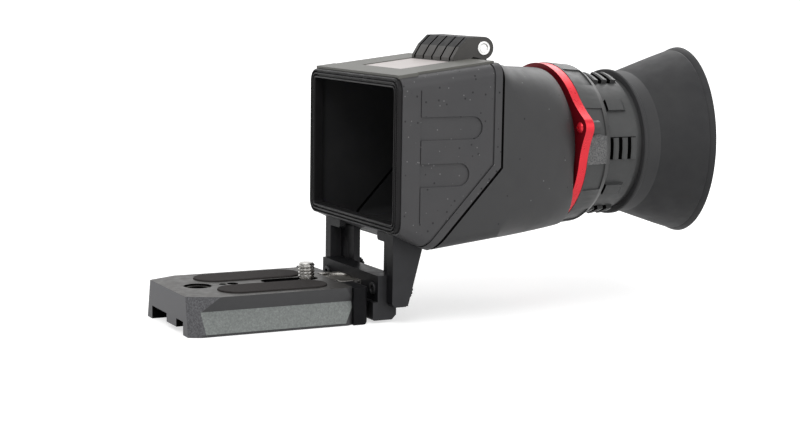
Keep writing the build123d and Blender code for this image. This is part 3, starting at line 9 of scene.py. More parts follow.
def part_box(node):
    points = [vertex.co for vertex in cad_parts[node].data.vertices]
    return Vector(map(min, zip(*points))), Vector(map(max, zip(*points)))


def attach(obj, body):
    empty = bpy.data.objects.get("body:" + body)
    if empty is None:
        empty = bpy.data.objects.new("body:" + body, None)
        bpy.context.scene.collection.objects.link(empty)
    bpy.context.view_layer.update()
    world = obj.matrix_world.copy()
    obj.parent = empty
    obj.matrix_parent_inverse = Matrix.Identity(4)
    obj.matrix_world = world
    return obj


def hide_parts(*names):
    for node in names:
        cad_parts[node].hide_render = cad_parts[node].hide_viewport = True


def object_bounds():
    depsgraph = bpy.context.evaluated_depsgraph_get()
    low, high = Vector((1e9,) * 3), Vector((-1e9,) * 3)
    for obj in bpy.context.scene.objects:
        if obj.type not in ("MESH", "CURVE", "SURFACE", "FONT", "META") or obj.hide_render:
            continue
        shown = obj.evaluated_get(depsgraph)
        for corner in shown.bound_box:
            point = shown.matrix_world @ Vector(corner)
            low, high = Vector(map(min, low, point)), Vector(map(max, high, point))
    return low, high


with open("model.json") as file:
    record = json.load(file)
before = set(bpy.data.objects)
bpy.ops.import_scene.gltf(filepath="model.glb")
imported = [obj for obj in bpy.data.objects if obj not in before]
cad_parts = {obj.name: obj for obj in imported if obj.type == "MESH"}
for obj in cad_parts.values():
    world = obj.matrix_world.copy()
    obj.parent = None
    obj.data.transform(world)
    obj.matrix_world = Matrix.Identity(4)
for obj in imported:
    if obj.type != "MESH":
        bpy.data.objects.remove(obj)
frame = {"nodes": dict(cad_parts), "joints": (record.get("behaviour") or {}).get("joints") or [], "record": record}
cad_low, cad_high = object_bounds()

mm = 0.001
SLOTS = {part["node"]: part["material_slot"] for part in frame["record"]["subparts"]}
BODIES = frame["record"]["behaviour"]["bodies"]
JOINTS = {joint["name"]: joint for joint in frame["joints"]}
EYE_Z = JOINTS["focus_turn"]["pos_m"][2]
HOOD_FRONT_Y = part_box("front_gasket")[0].y


def depth_y(depth):
    """The row's y at a depth in millimetres behind the gasket's front."""
    return HOOD_FRONT_Y + depth * mm


def body_of(node):
    return next(body for body, nodes in BODIES.items() if node in nodes)


# Camera, fitted to the photograph
camera_azimuth = math.radians(62.73)
camera_elevation = math.radians(7.66)
camera_roll = math.radians(0.88)
camera_distance = 659.4 * mm
camera_right = 18.89 * mm
camera_up = -25.06 * mm
camera_lens_mm = 76.67
camera_sensor_mm = 36.0
hood_centre_z = (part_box("front_gasket")[0].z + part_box("front_gasket")[1].z) / 2


def make_camera():
    back = Vector((
        math.sin(camera_azimuth) * math.cos(camera_elevation),
        -math.cos(camera_azimuth) * math.cos(camera_elevation),
        math.sin(camera_elevation),
    ))
    level_right = Vector((math.cos(camera_azimuth), math.sin(camera_azimuth), 0))
    level_up = back.cross(level_right)
    right = level_right * math.cos(camera_roll) + level_up * math.sin(camera_roll)
    up = level_up * math.cos(camera_roll) - level_right * math.sin(camera_roll)
    data = bpy.data.cameras.new("camera")
    data.lens = camera_lens_mm
    data.sensor_width = camera_sensor_mm
    data.clip_start = 10 * mm
    data.clip_end = 20000 * mm
    camera = bpy.data.objects.new("camera", data)
    turn = Matrix((right, up, back)).transposed().to_4x4()
    centre = Vector((0, HOOD_FRONT_Y, hood_centre_z))
    place = centre + back * camera_distance + right * camera_right + up * camera_up
    camera.matrix_world = Matrix.Translation(place) @ turn
    bpy.context.collection.objects.link(camera)
    bpy.context.scene.camera = camera


# Materials
mottle_span = (0.35, 0.7)
wear_span = (0.3, 0.7)
speck_turn = (0.5, 0.3, 0.7)
speck_core_share = 0.6


class Finish:
    """A Principled material whose colour, roughness and bump are built up from procedural textures."""

    def __init__(self, name, color, roughness, metallic=0.0, **sockets):
        self.material = bpy.data.materials.new(name)
        self.material.use_nodes = True
        self.tree = self.material.node_tree
        self.shader = self.tree.nodes["Principled BSDF"]
        self.color = color
        self.roughness = roughness
        self.shader.inputs["Base Color"].default_value = (*color, 1)
        self.shader.inputs["Roughness"].default_value = roughness
        self.shader.inputs["Metallic"].default_value = metallic
        for socket, value in sockets.items():
            self.shader.inputs[socket.replace("_", " ")].default_value = value
        self.place = self.node("ShaderNodeTexCoord").outputs["Object"]
        self.height = None

    def node(self, kind, **settings):
        made = self.tree.nodes.new(kind)
        for key, value in settings.items():
            setattr(made, key, value)
        return made

    def link(self, source, target):
        self.tree.links.new(source, target)

    def noise(self, size, detail=3.0, stretch=(1, 1, 1)):
        """Noise whose features are about size metres across."""
        scale = self.node("ShaderNodeMapping")
        scale.inputs["Scale"].default_value = stretch
        self.link(self.place, scale.inputs["Vector"])
        texture = self.node("ShaderNodeTexNoise")
        texture.inputs["Scale"].default_value = 1 / size
        texture.inputs["Detail"].default_value = detail
        self.link(scale.outputs["Vector"], texture.inputs["Vector"])
        return texture.outputs["Fac"]

    def ramp(self, value, low, high, start=0.0, end=1.0):
        """The value mapped from low..high to start..end, clamped."""
        made = self.node("ShaderNodeMapRange")
        made.inputs["From Min"].default_value = low
        made.inputs["From Max"].default_value = high
        made.inputs["To Min"].default_value = start
        made.inputs["To Max"].default_value = end
        self.link(value, made.inputs["Value"])
        return made.outputs["Result"]

    def math(self, operation, first, second):
        made = self.node("ShaderNodeMath", operation=operation)
        for socket, value in zip(made.inputs, (first, second)):
            if isinstance(value, (int, float)):
                socket.default_value = value
            else:
                self.link(value, socket)
        return made.outputs["Value"]

    def tint(self, mask, color):
        """Mixes a colour over what the base colour is so far, where the mask is 1."""
        mix = self.node("ShaderNodeMix", data_type="RGBA")
        base = self.shader.inputs["Base Color"]
        if base.is_linked:
            self.link(base.links[0].from_socket, mix.inputs["A"])
        else:
            mix.inputs["A"].default_value = (*self.color, 1)
        mix.inputs["B"].default_value = (*color, 1)
        self.link(mask, mix.inputs["Factor"])
        self.link(mix.outputs["Result"], base)
        return self

    def mottle(self, size, color, strength, detail=4.0, stretch=(1, 1, 1)):
        fac = self.ramp(self.noise(size, detail, stretch), *mottle_span, 0.0, strength)
        return self.tint(fac, color)

    def wear(self, size, spread, detail=4.0, stretch=(1, 1, 1)):
        """Roughness that varies about its mean by spread."""
        low, high = self.roughness - spread, self.roughness + spread
        rough = self.ramp(self.noise(size, detail, stretch), *wear_span, low, high)
        self.link(rough, self.shader.inputs["Roughness"])
        return self

    def bump(self, height, depth):
        """Adds a height, 0 to 1, that stands depth metres proud."""
        made = self.node("ShaderNodeBump")
        made.inputs["Strength"].default_value = 1.0
        made.inputs["Distance"].default_value = depth
        self.link(height, made.inputs["Height"])
        normal = self.shader.inputs["Normal"]
        if normal.is_linked:
            self.link(normal.links[0].from_socket, made.inputs["Normal"])
        self.link(made.outputs["Normal"], normal)
        return self

    def grain(self, size, depth, detail=2.0, stretch=(1, 1, 1)):
        return self.bump(self.noise(size, detail, stretch), depth)

    def specks(self, spacing, radius, color, share, seed=0.0):
        """Scattered round specks: one in a share of the cells, of about the radius, in metres."""
        shift = self.node("ShaderNodeMapping")
        shift.inputs["Location"].default_value = (seed, seed, seed)
        shift.inputs["Rotation"].default_value = speck_turn
        self.link(self.place, shift.inputs["Vector"])
        cells = self.node("ShaderNodeTexVoronoi", feature="F1")
        cells.inputs["Scale"].default_value = 1 / spacing
        cells.inputs["Randomness"].default_value = 1.0
        self.link(shift.outputs["Vector"], cells.inputs["Vector"])
        reach = radius / spacing
        near = self.ramp(cells.outputs["Distance"], reach, reach * speck_core_share)
        split = self.node("ShaderNodeSeparateColor")
        self.link(cells.outputs["Color"], split.inputs["Color"])
        chosen = self.math("LESS_THAN", split.outputs["Red"], share)
        return self.tint(self.math("MULTIPLY", near, chosen), color)


def shell_plastic():
    made = Finish("shell_plastic", (0.054, 0.053, 0.055), 0.5, Specular_IOR_Level=0.32)
    made.mottle(14 * mm, (0.046, 0.046, 0.049), 0.6)
    made.specks(2.5 * mm, 0.5 * mm, (0.008, 0.008, 0.009), 0.45)
    made.specks(2.2 * mm, 0.32 * mm, (0.16, 0.16, 0.16), 0.42, seed=0.31)
    made.wear(6 * mm, 0.05)
    return made.grain(0.35 * mm, 0.012 * mm)


def tail_plastic():
    made = Finish("tail_plastic", (0.048, 0.048, 0.049), 0.5, Specular_IOR_Level=0.28)
    made.mottle(18 * mm, (0.041, 0.041, 0.042), 0.6)
    made.specks(3.2 * mm, 0.4 * mm, (0.14, 0.14, 0.14), 0.2, seed=0.53)
    made.specks(3.6 * mm, 0.5 * mm, (0.014, 0.014, 0.015), 0.1, seed=0.87)
    made.wear(6 * mm, 0.05)
    return made.grain(0.4 * mm, 0.012 * mm)


def inner_black():
    made = Finish("inner_black", (0.033, 0.033, 0.034), 0.75, Specular_IOR_Level=0.06)
    made.mottle(10 * mm, (0.026, 0.026, 0.027), 0.6)
    return made.grain(0.5 * mm, 0.02 * mm)


def painted_shade_black():
    """Painted shade: near-black for narrow grooves, seams and openings."""
    made = Finish("painted_shade_black", (0.003, 0.003, 0.003), 0.8, Specular_IOR_Level=0.02)
    return made.grain(0.5 * mm, 0.01 * mm)


def top_plastic():
    made = Finish("top_plastic", (0.135, 0.133, 0.122), 0.5, Specular_IOR_Level=0.25)
    made.mottle(9 * mm, (0.115, 0.115, 0.104), 0.6)
    made.specks(2.6 * mm, 0.3 * mm, (0.26, 0.26, 0.24), 0.07, seed=0.17)
    return made.grain(0.3 * mm, 0.01 * mm)


def plate_alloy():
    made = Finish("plate_alloy", (0.052, 0.05, 0.047), 0.45, metallic=0.3, Specular_IOR_Level=0.2)
    made.mottle(0.5 * mm, (0.085, 0.082, 0.079), 0.35, detail=6)
    made.wear(3 * mm, 0.06)
    return made.grain(0.25 * mm, 0.006 * mm, detail=4)


def plate_nose():
    made = Finish("plate_nose", (0.058, 0.058, 0.063), 0.45, metallic=0.3, Specular_IOR_Level=0.3)
    made.mottle(0.4 * mm, (0.09, 0.09, 0.096), 0.4, detail=6)
    return made.grain(0.25 * mm, 0.01 * mm, detail=4)


def plate_facet():
    made = Finish("plate_facet", (0.058, 0.058, 0.062), 0.55, metallic=0.3, Specular_IOR_Level=0.3)
    made.mottle(0.55 * mm, (0.158, 0.158, 0.166), 0.7, detail=8)
    return made.grain(0.3 * mm, 0.02 * mm, detail=4)


# Upper side flanks of the plate: a speckled grain on a base painted much lighter, as a highlight where they tilt
# up to the light
def plate_flank_highlight():
    made = Finish("plate_flank_highlight", (0.17, 0.183, 0.177), 0.55, metallic=0.3, Specular_IOR_Level=0.3)
    made.mottle(0.5 * mm, (0.3, 0.317, 0.308), 0.55, detail=8)
    made.mottle(0.9 * mm, (0.1, 0.108, 0.104), 0.5, detail=8)
    return made.grain(0.3 * mm, 0.02 * mm, detail=4)


def plate_bevel():
    made = Finish("plate_bevel", (0.062, 0.062, 0.064), 0.42, metallic=0.3, Specular_IOR_Level=0.25)
    made.mottle(3 * mm, (0.07, 0.07, 0.072), 0.5)
    return made.grain(0.25 * mm, 0.006 * mm, detail=4)


def black_alloy():
    made = Finish("black_alloy", (0.032, 0.032, 0.034), 0.45, Specular_IOR_Level=0.15)
    made.mottle(4 * mm, (0.038, 0.038, 0.041), 0.6)
    made.wear(3 * mm, 0.06)
    return made.grain(0.25 * mm, 0.008 * mm, detail=4)


# Gloss black: the crossbar's and slide housing's own finish, also used as painted shade on the legs' front faces
def gloss_black_and_shade():
    made = Finish("gloss_black_and_shade", (0.008, 0.008, 0.009), 0.34, Specular_IOR_Level=0.06)
    made.mottle(3 * mm, (0.011, 0.011, 0.012), 0.6)
    return made.wear(2 * mm, 0.06).grain(0.25 * mm, 0.005 * mm, detail=4)


def pad_rubber():
    made = Finish("pad_rubber", (0.036, 0.033, 0.032), 0.85, Specular_IOR_Level=0.12)
    made.mottle(2 * mm, (0.044, 0.04, 0.039), 0.6)
    return made.grain(0.5 * mm, 0.03 * mm, detail=4)


def steel():
    made = Finish("steel", (0.52, 0.51, 0.49), 0.3, metallic=1.0)
    made.mottle(1.2 * mm, (0.4, 0.39, 0.37), 0.4, stretch=(1, 1, 3))
    made.wear(1.5 * mm, 0.08)
    return made.grain(0.4 * mm, 0.004 * mm, stretch=(1, 1, 6))


# The tongue's land: steel painted darker and browner, as a reflection on its mirror-like top
def land_reflection_steel():
    made = Finish("land_reflection_steel", (0.3, 0.285, 0.255), 0.38, metallic=1.0)
    made.mottle(3 * mm, (0.44, 0.42, 0.39), 0.6, stretch=(1, 0.35, 1))
    made.wear(1.5 * mm, 0.06)
    return made.grain(0.3 * mm, 0.004 * mm, stretch=(6, 1, 1))


def dark_steel():
    made = Finish("dark_steel", (0.06, 0.06, 0.062), 0.35, metallic=0.8)
    return made.wear(1 * mm, 0.08).grain(0.3 * mm, 0.005 * mm)


def chrome():
    made = Finish("chrome", (0.8, 0.8, 0.79), 0.18, metallic=1.0)
    made.mottle(2.2 * mm, (0.5, 0.5, 0.49), 0.5)
    return made.wear(1.5 * mm, 0.05).grain(0.5 * mm, 0.003 * mm)


def pale_plastic():
    made = Finish("pale_plastic", (0.56, 0.515, 0.505), 0.45, Specular_IOR_Level=0.2)
    return made.mottle(5 * mm, (0.51, 0.47, 0.46), 0.4).grain(0.8 * mm, 0.004 * mm)


def black_plastic():
    made = Finish("black_plastic", (0.02, 0.02, 0.021), 0.5, Specular_IOR_Level=0.2)
    return made.wear(3 * mm, 0.06).grain(0.3 * mm, 0.01 * mm)


def hinge_plastic():
    made = Finish("hinge_plastic", (0.07, 0.067, 0.064), 0.5, Specular_IOR_Level=0.25)
    made.mottle(5 * mm, (0.082, 0.08, 0.076), 0.5)
    made.specks(2.2 * mm, 0.28 * mm, (0.2, 0.2, 0.19), 0.07, seed=0.71)
    return made.wear(3 * mm, 0.06).grain(0.3 * mm, 0.01 * mm)


def black_rubber():
    made = Finish("black_rubber", (0.009, 0.009, 0.0095), 0.5, Specular_IOR_Level=0.1)
    return made.wear(4 * mm, 0.08).grain(0.4 * mm, 0.012 * mm)


def gasket_rubber():
    made = Finish("gasket_rubber", (0.013, 0.0125, 0.013), 0.34, Specular_IOR_Level=0.12)
    made.mottle(7 * mm, (0.017, 0.017, 0.018), 0.5)
    return made.wear(4 * mm, 0.08).grain(0.5 * mm, 0.01 * mm)


def red_alloy():
    made = Finish("red_alloy", (0.74, 0.018, 0.034), 0.3, metallic=0.45)
    made.mottle(4 * mm, (0.64, 0.014, 0.028), 0.5)
    return made.wear(2 * mm, 0.05).grain(0.25 * mm, 0.004 * mm)


# The flange's front face: the red anodising painted dark, as shade
def red_face_shade():
    made = Finish("red_face_shade", (0.2, 0.005, 0.011), 0.4, metallic=0.3, Specular_IOR_Level=0.15)
    made.mottle(4 * mm, (0.14, 0.004, 0.009), 0.5)
    return made.wear(2 * mm, 0.05).grain(0.25 * mm, 0.004 * mm)


def grip_plastic():
    made = Finish("grip_plastic", (0.058, 0.059, 0.059), 0.45, Specular_IOR_Level=0.32)
    made.mottle(6 * mm, (0.047, 0.048, 0.049), 0.6)
    made.specks(3.0 * mm, 0.26 * mm, (0.2, 0.2, 0.2), 0.06, seed=0.41)
    return made.wear(3 * mm, 0.06).grain(0.3 * mm, 0.008 * mm)


def slope_highlight_plastic():
    """The focus ring's rear slope, painted lighter as a highlight where it catches the light."""
    made = Finish("slope_highlight_plastic", (0.075, 0.075, 0.075), 0.4, Specular_IOR_Level=0.4)
    return made.mottle(5 * mm, (0.05, 0.05, 0.05), 0.7).grain(0.3 * mm, 0.006 * mm)


def patch_plastic():
    """The bare patch on the focus ring, a coarser speckled grain."""
    made = Finish("patch_plastic", (0.07, 0.07, 0.071), 0.5, Specular_IOR_Level=0.3)
    made.mottle(0.6 * mm, (0.3, 0.3, 0.3), 0.55, detail=8)
    return made.grain(0.3 * mm, 0.02 * mm)


def cup_rubber():
    made = Finish("cup_rubber", (0.026, 0.026, 0.027), 0.62, Specular_IOR_Level=0.25, Sheen_Weight=0.04)
    made.mottle(12 * mm, (0.021, 0.021, 0.023), 0.7)
    return made.wear(5 * mm, 0.06).grain(0.5 * mm, 0.01 * mm)


def collar_rubber():
    made = Finish("collar_rubber", (0.042, 0.042, 0.043), 0.62, Specular_IOR_Level=0.25)
    return made.mottle(12 * mm, (0.034, 0.034, 0.036), 0.7).grain(0.5 * mm, 0.01 * mm)


def lens_glass():
    made = Finish("lens_glass", (0.96, 0.97, 1.0), 0.02, IOR=1.52, Transmission_Weight=1.0, Coat_Weight=0.6)
    made.shader.inputs["Coat Tint"].default_value = (0.55, 0.5, 0.95, 1)
    return made.grain(20 * mm, 0.001 * mm)


def brass():
    made = Finish("brass", (0.72, 0.52, 0.22), 0.3, metallic=1.0)
    return made.wear(1 * mm, 0.08)


MAKERS = (
    shell_plastic, tail_plastic, inner_black, painted_shade_black, top_plastic, plate_alloy, plate_nose,
    plate_facet, plate_flank_highlight, plate_bevel, black_alloy, gloss_black_and_shade, pad_rubber, steel, land_reflection_steel,
    dark_steel, chrome, pale_plastic, black_plastic, hinge_plastic, black_rubber, gasket_rubber,
    red_alloy, red_face_shade, grip_plastic, slope_highlight_plastic, patch_plastic, cup_rubber, collar_rubber,
    lens_glass, brass,
)
MATERIALS = {maker.__name__: maker().material for maker in MAKERS}


def dress_nodes():
    for name, node in frame["nodes"].items():
        made = MATERIALS[SLOTS[name]]
        node.data.materials.clear()
        node.data.materials.append(made)


# Pieces made from the CAD meshes, with their edges rounded
weld_distance = 0.002 * mm
flat_angle = math.radians(0.6)
crease_angle = math.radians(28)


def cad_form(name):
    """A copy of a node's mesh, welded, with its flat regions joined into single faces."""
    form = bmesh.new()
    form.from_mesh(frame["nodes"][name].data)
    bmesh.ops.remove_doubles(form, verts=form.verts, dist=weld_distance)
    bmesh.ops.dissolve_limit(form, angle_limit=flat_angle, verts=form.verts, edges=form.edges)
    form.normal_update()
    return form


def make_piece(form, name, node, materials, bevel=0.0):
    """Turns a form into a piece that stands for a node and rides on its body."""
    for face in form.faces:
        face.smooth = True
    for edge in form.edges:
        edge.smooth = edge.calc_face_angle(0.0) < crease_angle
    mesh = bpy.data.meshes.new(name)
    form.to_mesh(mesh)
    form.free()
    for material in materials:
        mesh.materials.append(MATERIALS[material])
    piece = bpy.data.objects.new(name, mesh)
    bpy.context.collection.objects.link(piece)
    if bevel:
        rounding = piece.modifiers.new("rounding", "BEVEL")
        rounding.width = bevel
        rounding.segments = 2
        rounding.limit_method = "ANGLE"
        rounding.angle_limit = crease_angle
        rounding.harden_normals = True
        rounding.use_clamp_overlap = True
    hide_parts(node)
    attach(piece, body_of(node))
    return piece


ROUNDINGS = {
    0.12 * mm: (
        "housing_screws", "tongue_screws", "clamp_screws", "leg_screws", "hinge_screws", "neck_screws",
        "guide_pins", "label_panel", "screw_bush",
    ),
    0.2 * mm: (
        "slide_lock", "finger_ring", "thumb_nut_left", "thumb_nut_right", "hood_magnets", "housing_magnets",
        "slide_tongue", "flange_screws", "lens_cell", "lens_spacer", "lens_retainer", "light_baffle",
        "seam_seal", "focus_base", "focus_barrel", "hinge_pin",
    ),
    0.3 * mm: (
        "base_plate", "rubber_pad_left", "rubber_pad_right", "slide_housing", "hood_shell", "top_plate",
        "rear_housing", "flange_ring",
    ),
    0.45 * mm: ("crossbar", "leg_left", "leg_right", "hinge_block"),
}


# Paints: each sets the faces' slots and returns the finishes in the slots' order
skin_margin = 2 * mm
end_margin = 1 * mm
seam_margin = 0.3 * mm
# Limits for one part of a face's normal, from nearly square to that axis to straight along it
level = 0.1
leaning = 0.15
turned = 0.3
half_turned = 0.5
facing = 0.7
flat_on = 0.9
inward_share = 0.25


def faces_inwards(face, reach):
    """True for a face that looks at the hood's axis from within reach of it."""
    middle = face.calc_center_median()
    across = Vector((middle.x, 0, middle.z - hood_centre_z))
    normal = Vector((face.normal.x, 0, face.normal.z))
    inwards = across.dot(normal) < -inward_share * across.length
    return inwards and abs(middle.x) < reach


def paint_hood(form):
    """Blackens the hood's inside, and paints shade on its walls along the seam."""
    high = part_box("hood_shell")[1]
    reach = high.x - skin_margin
    for face in form.faces:
        normal = face.normal
        rearmost = face.calc_center_median().y > high.y - seam_margin
        backwards = abs(normal.x) < level and normal.y > half_turned
        at_seam = backwards and (rearmost or normal.z < -turned)
        # seam faces get painted shade; inward faces get the black inside finish
        face.material_index = 2 if at_seam else 1 if faces_inwards(face, reach) else 0
    return ("shell_plastic", "inner_black", "painted_shade_black")


def paint_rear(form):
    """Blackens the housing's inside, and paints shade on its walls along the seam."""
    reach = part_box("rear_housing")[1].x - skin_margin
    for face in form.faces:
        normal = face.normal
        at_seam = abs(normal.x) < level and normal.y < -half_turned
        # seam faces get painted shade; inward faces get the black inside finish
        face.material_index = 2 if at_seam else 1 if faces_inwards(face, reach) else 0
    return ("tail_plastic", "inner_black", "painted_shade_black")


plate_rim = 6 * mm
facet_turn = 0.2
flank_turn = 0.8


def paint_plate(form):
    """Gives the plate's nose, facets, lower flanks and undersides their own finishes, paints a highlight on the
    flanks that tilt up, and paints shade into the openings.
    """
    low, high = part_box("base_plate")
    for face in form.faces:
        middle = face.calc_center_median()
        normal = face.normal
        outside = abs(middle.x) > high.x - plate_rim
        sideways = outside and abs(normal.x) > flank_turn
        face.material_index = 0
        if normal.y < -flat_on and middle.y < low.y + end_margin:
            face.material_index = 1
        elif outside and abs(normal.x) > turned and normal.y < -facet_turn:
            face.material_index = 2
        # flanks that tilt up: painted highlight
        elif sideways and normal.z > leaning:
            face.material_index = 3
        elif sideways and normal.z < -leaning:
            face.material_index = 4
        # walls of the openings: painted shade
        elif not outside and abs(normal.z) < half_turned:
            face.material_index = 5
        elif normal.z < half_turned:
            face.material_index = 4
    return ("plate_alloy", "plate_nose", "plate_facet", "plate_flank_highlight", "plate_bevel", "painted_shade_black")


def paint_tongue(form):
    """Gives the tongue's upper land a darker, browner steel: a painted reflection on its mirror-like top."""
    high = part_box("slide_tongue")[1]
    for face in form.faces:
        middle = face.calc_center_median()
        on_top = face.normal.z > flat_on and middle.z > high.z - end_margin
        face.material_index = 1 if on_top else 0
    return ("steel", "land_reflection_steel")


def paint_leg(form):
    """Darkens the leg's front faces with painted shade."""
    for face in form.faces:
        # front faces: painted shade
        face.material_index = 1 if face.normal.y < -facing else 0
    return ("black_alloy", "gloss_black_and_shade")


def paint_crossbar(form):
    """Lightens the crossbar's ends, as painted light on the end faces."""
    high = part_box("crossbar")[1]
    for face in form.faces:
        at_end = abs(face.calc_center_median().x) > high.x - end_margin
        # end faces: painted light
        face.material_index = 1 if at_end and abs(face.normal.x) > facing else 0
    return ("gloss_black_and_shade", "black_alloy")


hinge_groove_limit = 1.3 * mm


def paint_hinge(form):
    """Paints shade into the grooves between the hinge block's ribs, and darkens its top with painted shade."""
    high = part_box("hinge_block")[1]
    for face in form.faces:
        across = [vert.co.x for vert in face.verts]
        narrow = max(across) - min(across) < hinge_groove_limit
        inside = abs(face.calc_center_median().x) < high.x - end_margin
        # narrow groove faces and top faces: painted shade
        face.material_index = 1 if inside and narrow else 2 if face.normal.z > facing else 0
    return ("hinge_plastic", "painted_shade_black", "black_plastic")


groove_depth = 114.4
pocket_floor_low = 27.4 * mm
pocket_floor_high = 27.75 * mm


def paint_barrel(form):
    """Paints shade into the pockets and onto the front walls of the ribs on the focus barrel."""
    rear = depth_y(groove_depth)
    for face in form.faces:
        middle = face.calc_center_median()
        radius = math.hypot(middle.x, middle.z - EYE_Z)
        floor = pocket_floor_low < radius < pocket_floor_high and abs(face.normal.y) < turned
        wall = radius > pocket_floor_low and abs(face.normal.y) > facing
        # pocket floors and rib front walls: painted shade
        face.material_index = 1 if middle.y < rear and (floor or wall) else 0
    return ("grip_plastic", "painted_shade_black")


def paint_flange(form):
    """Darkens the flange's front face with painted shade."""
    for face in form.faces:
        face.material_index = 1 if face.normal.y < -flat_on else 0
    return ("red_alloy", "red_face_shade")


patch_angle_low = -10.7
patch_angle_high = 11.3
patch_radius = 31.36 * mm
slope_radius = 29 * mm
slope_turn_low = 0.2
slope_turn_high = 0.93
outward_turn = 0.8


def paint_focus_base(form):
    """Marks the bare patch on the ring's near side, and paints a highlight on the slope at its rear."""
    for face in form.faces:
        middle = face.calc_center_median()
        up = middle.z - EYE_Z
        angle = math.degrees(math.atan2(up, middle.x))
        radius = math.hypot(middle.x, up)
        outward = (face.normal.x * middle.x + face.normal.z * up) / max(radius, mm) > outward_turn
        in_patch = outward and radius > patch_radius and patch_angle_low < angle < patch_angle_high
        sloped = slope_turn_low < face.normal.y < slope_turn_high and radius > slope_radius
        # sloped faces: painted highlight
        face.material_index = 2 if sloped else 1 if in_patch else 0
    return ("grip_plastic", "patch_plastic", "slope_highlight_plastic")


PAINTS = {
    "hood_shell": paint_hood,
    "rear_housing": paint_rear,
    "base_plate": paint_plate,
    "slide_tongue": paint_tongue,
    "flange_ring": paint_flange,
    "focus_base": paint_focus_base,
    "hinge_block": paint_hinge,
    "focus_barrel": paint_barrel,
    "leg_left": paint_leg,
    "leg_right": paint_leg,
    "crossbar": paint_crossbar,
}
# The seam seal takes the painted shade black; the slide housing takes gloss black
PLAIN_FINISHES = {"slide_housing": "gloss_black_and_shade", "seam_seal": "painted_shade_black"}


def make_rounded_pieces():
    for bevel, names in ROUNDINGS.items():
        for name in names:
            form = cad_form(name)
            paint = PAINTS.get(name)
            materials = paint(form) if paint else (PLAIN_FINISHES.get(name, SLOTS[name]),)
            make_piece(form, name + "_finished", name, materials, bevel)


# Gasket as rounded ridges round the opening
gasket_corner_radius = 5.0 * mm
gasket_corner_steps = 14
gasket_profile = (
    (0, 4.2), (0, 1.0), (0.04, 0.4), (0.2, 0.08), (0.42, 0), (0.62, 0.08), (0.74, 0.4), (0.78, 0.85),
    (0.9, 1.0), (1.2, 1.0), (1.32, 0.85), (1.36, 0.4), (1.48, 0.08), (1.72, 0), (1.95, 0.08), (2.08, 0.4),
    (2.12, 0.85), (2.22, 1.0), (2.55, 1.0), (2.66, 0.85), (2.72, 0.4), (2.86, 0.08), (3.1, 0), (3.4, 0.1),
    (3.54, 0.4), (3.6, 1.0), (3.6, 4.2),
)


def gasket_loop(form, inset, depth):
    """A rounded rectangle of vertices set in from the gasket's outline, at a depth behind its front."""
    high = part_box("front_gasket")[1]
    radius = gasket_corner_radius - inset
    half_width = high.x - inset - radius
    half_height = high.z - hood_centre_z - inset - radius
    loop = []
    for corner, (side, lift) in enumerate(((1, 1), (-1, 1), (-1, -1), (1, -1))):
        for step in range(gasket_corner_steps + 1):
            angle = math.radians(90 * (corner + step / gasket_corner_steps))
            loop.append(form.verts.new((
                side * half_width + radius * math.cos(angle), HOOD_FRONT_Y + depth,
                hood_centre_z + lift * half_height + radius * math.sin(angle),
            )))
    return loop


def make_gasket():
    """The gasket's profile, as (inset, depth) in millimetres, carried round its outline."""
    form = bmesh.new()
    loops = [gasket_loop(form, inset * mm, depth * mm) for inset, depth in gasket_profile]
    for here, there in zip(loops, loops[1:] + loops[:1]):
        for index in range(len(here)):
            after = (index + 1) % len(here)
            form.faces.new((here[index], here[after], there[after], there[index]))
    bmesh.ops.recalc_face_normals(form, faces=form.faces)
    make_piece(form, "front_gasket_moulded", "front_gasket", ("gasket_rubber",))


# Camera screw with its thread
thread_radius = 3.175 * mm
thread_root = 2.55 * mm
thread_start_radius = 2.6 * mm
thread_pitch = 1.27 * mm
thread_low = -0.5 * mm
thread_segments = 72
thread_rows_per_pitch = 12
thread_tip = 0.7 * mm
thread_flank_share = 1.7


def thread_radius_at(angle_share, z, top):
    """The thread's surface: sharp roots and flat crests, run out at its start and cut back at its tip."""
    phase = ((z - thread_low) / thread_pitch - angle_share) % 1
    slope = min(1, abs(2 * phase - 1) * thread_flank_share)
    radius = thread_root + (thread_radius - thread_root) * slope
    start = thread_start_radius + (z - thread_low)
    tip = thread_radius - thread_tip + (top - z)
    return min(radius, start, tip)


def make_camera_screw():
    """The stud is cut across its shank, and a threaded end is joined to the cut."""
    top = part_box("camera_screw")[1].z
    form = cad_form("camera_screw")
    whole = form.verts[:] + form.edges[:] + form.faces[:]
    plane = {"plane_co": (0, 0, thread_low), "plane_no": (0, 0, 1)}
    bmesh.ops.bisect_plane(form, geom=whole, clear_outer=True, **plane)
    cut = [edge for edge in form.edges if edge.is_boundary]
    rows = round((top - thread_low) / thread_pitch * thread_rows_per_pitch)
    rings = []
    for row in range(rows + 1):
        z = thread_low + (top - thread_low) * row / rows
        ring = []
        for step in range(thread_segments):
            share = step / thread_segments
            radius = thread_radius_at(share, z, top)
            angle = 2 * math.pi * share
            ring.append(form.verts.new((radius * math.cos(angle), radius * math.sin(angle), z)))
        rings.append(ring)
    for below, above in zip(rings, rings[1:]):
        for step in range(thread_segments):
            after = (step + 1) % thread_segments
            form.faces.new((below[step], below[after], above[after], above[step]))
    form.faces.new(rings[-1])
    first = [form.edges.get((vert, rings[0][index - 1])) for index, vert in enumerate(rings[0])]
    bmesh.ops.bridge_loops(form, edges=cut + first)
    bmesh.ops.recalc_face_normals(form, faces=form.faces)
    make_piece(form, "camera_screw_threaded", "camera_screw", ("steel",))


# Eyecup as a smooth skin whose rings lean more towards the rim
cup_segments = 128
cup_smoothing = 6
cup_tilt = math.radians(11.6)
cup_collar_length = 8.1
cup_funnel_length = 28.8


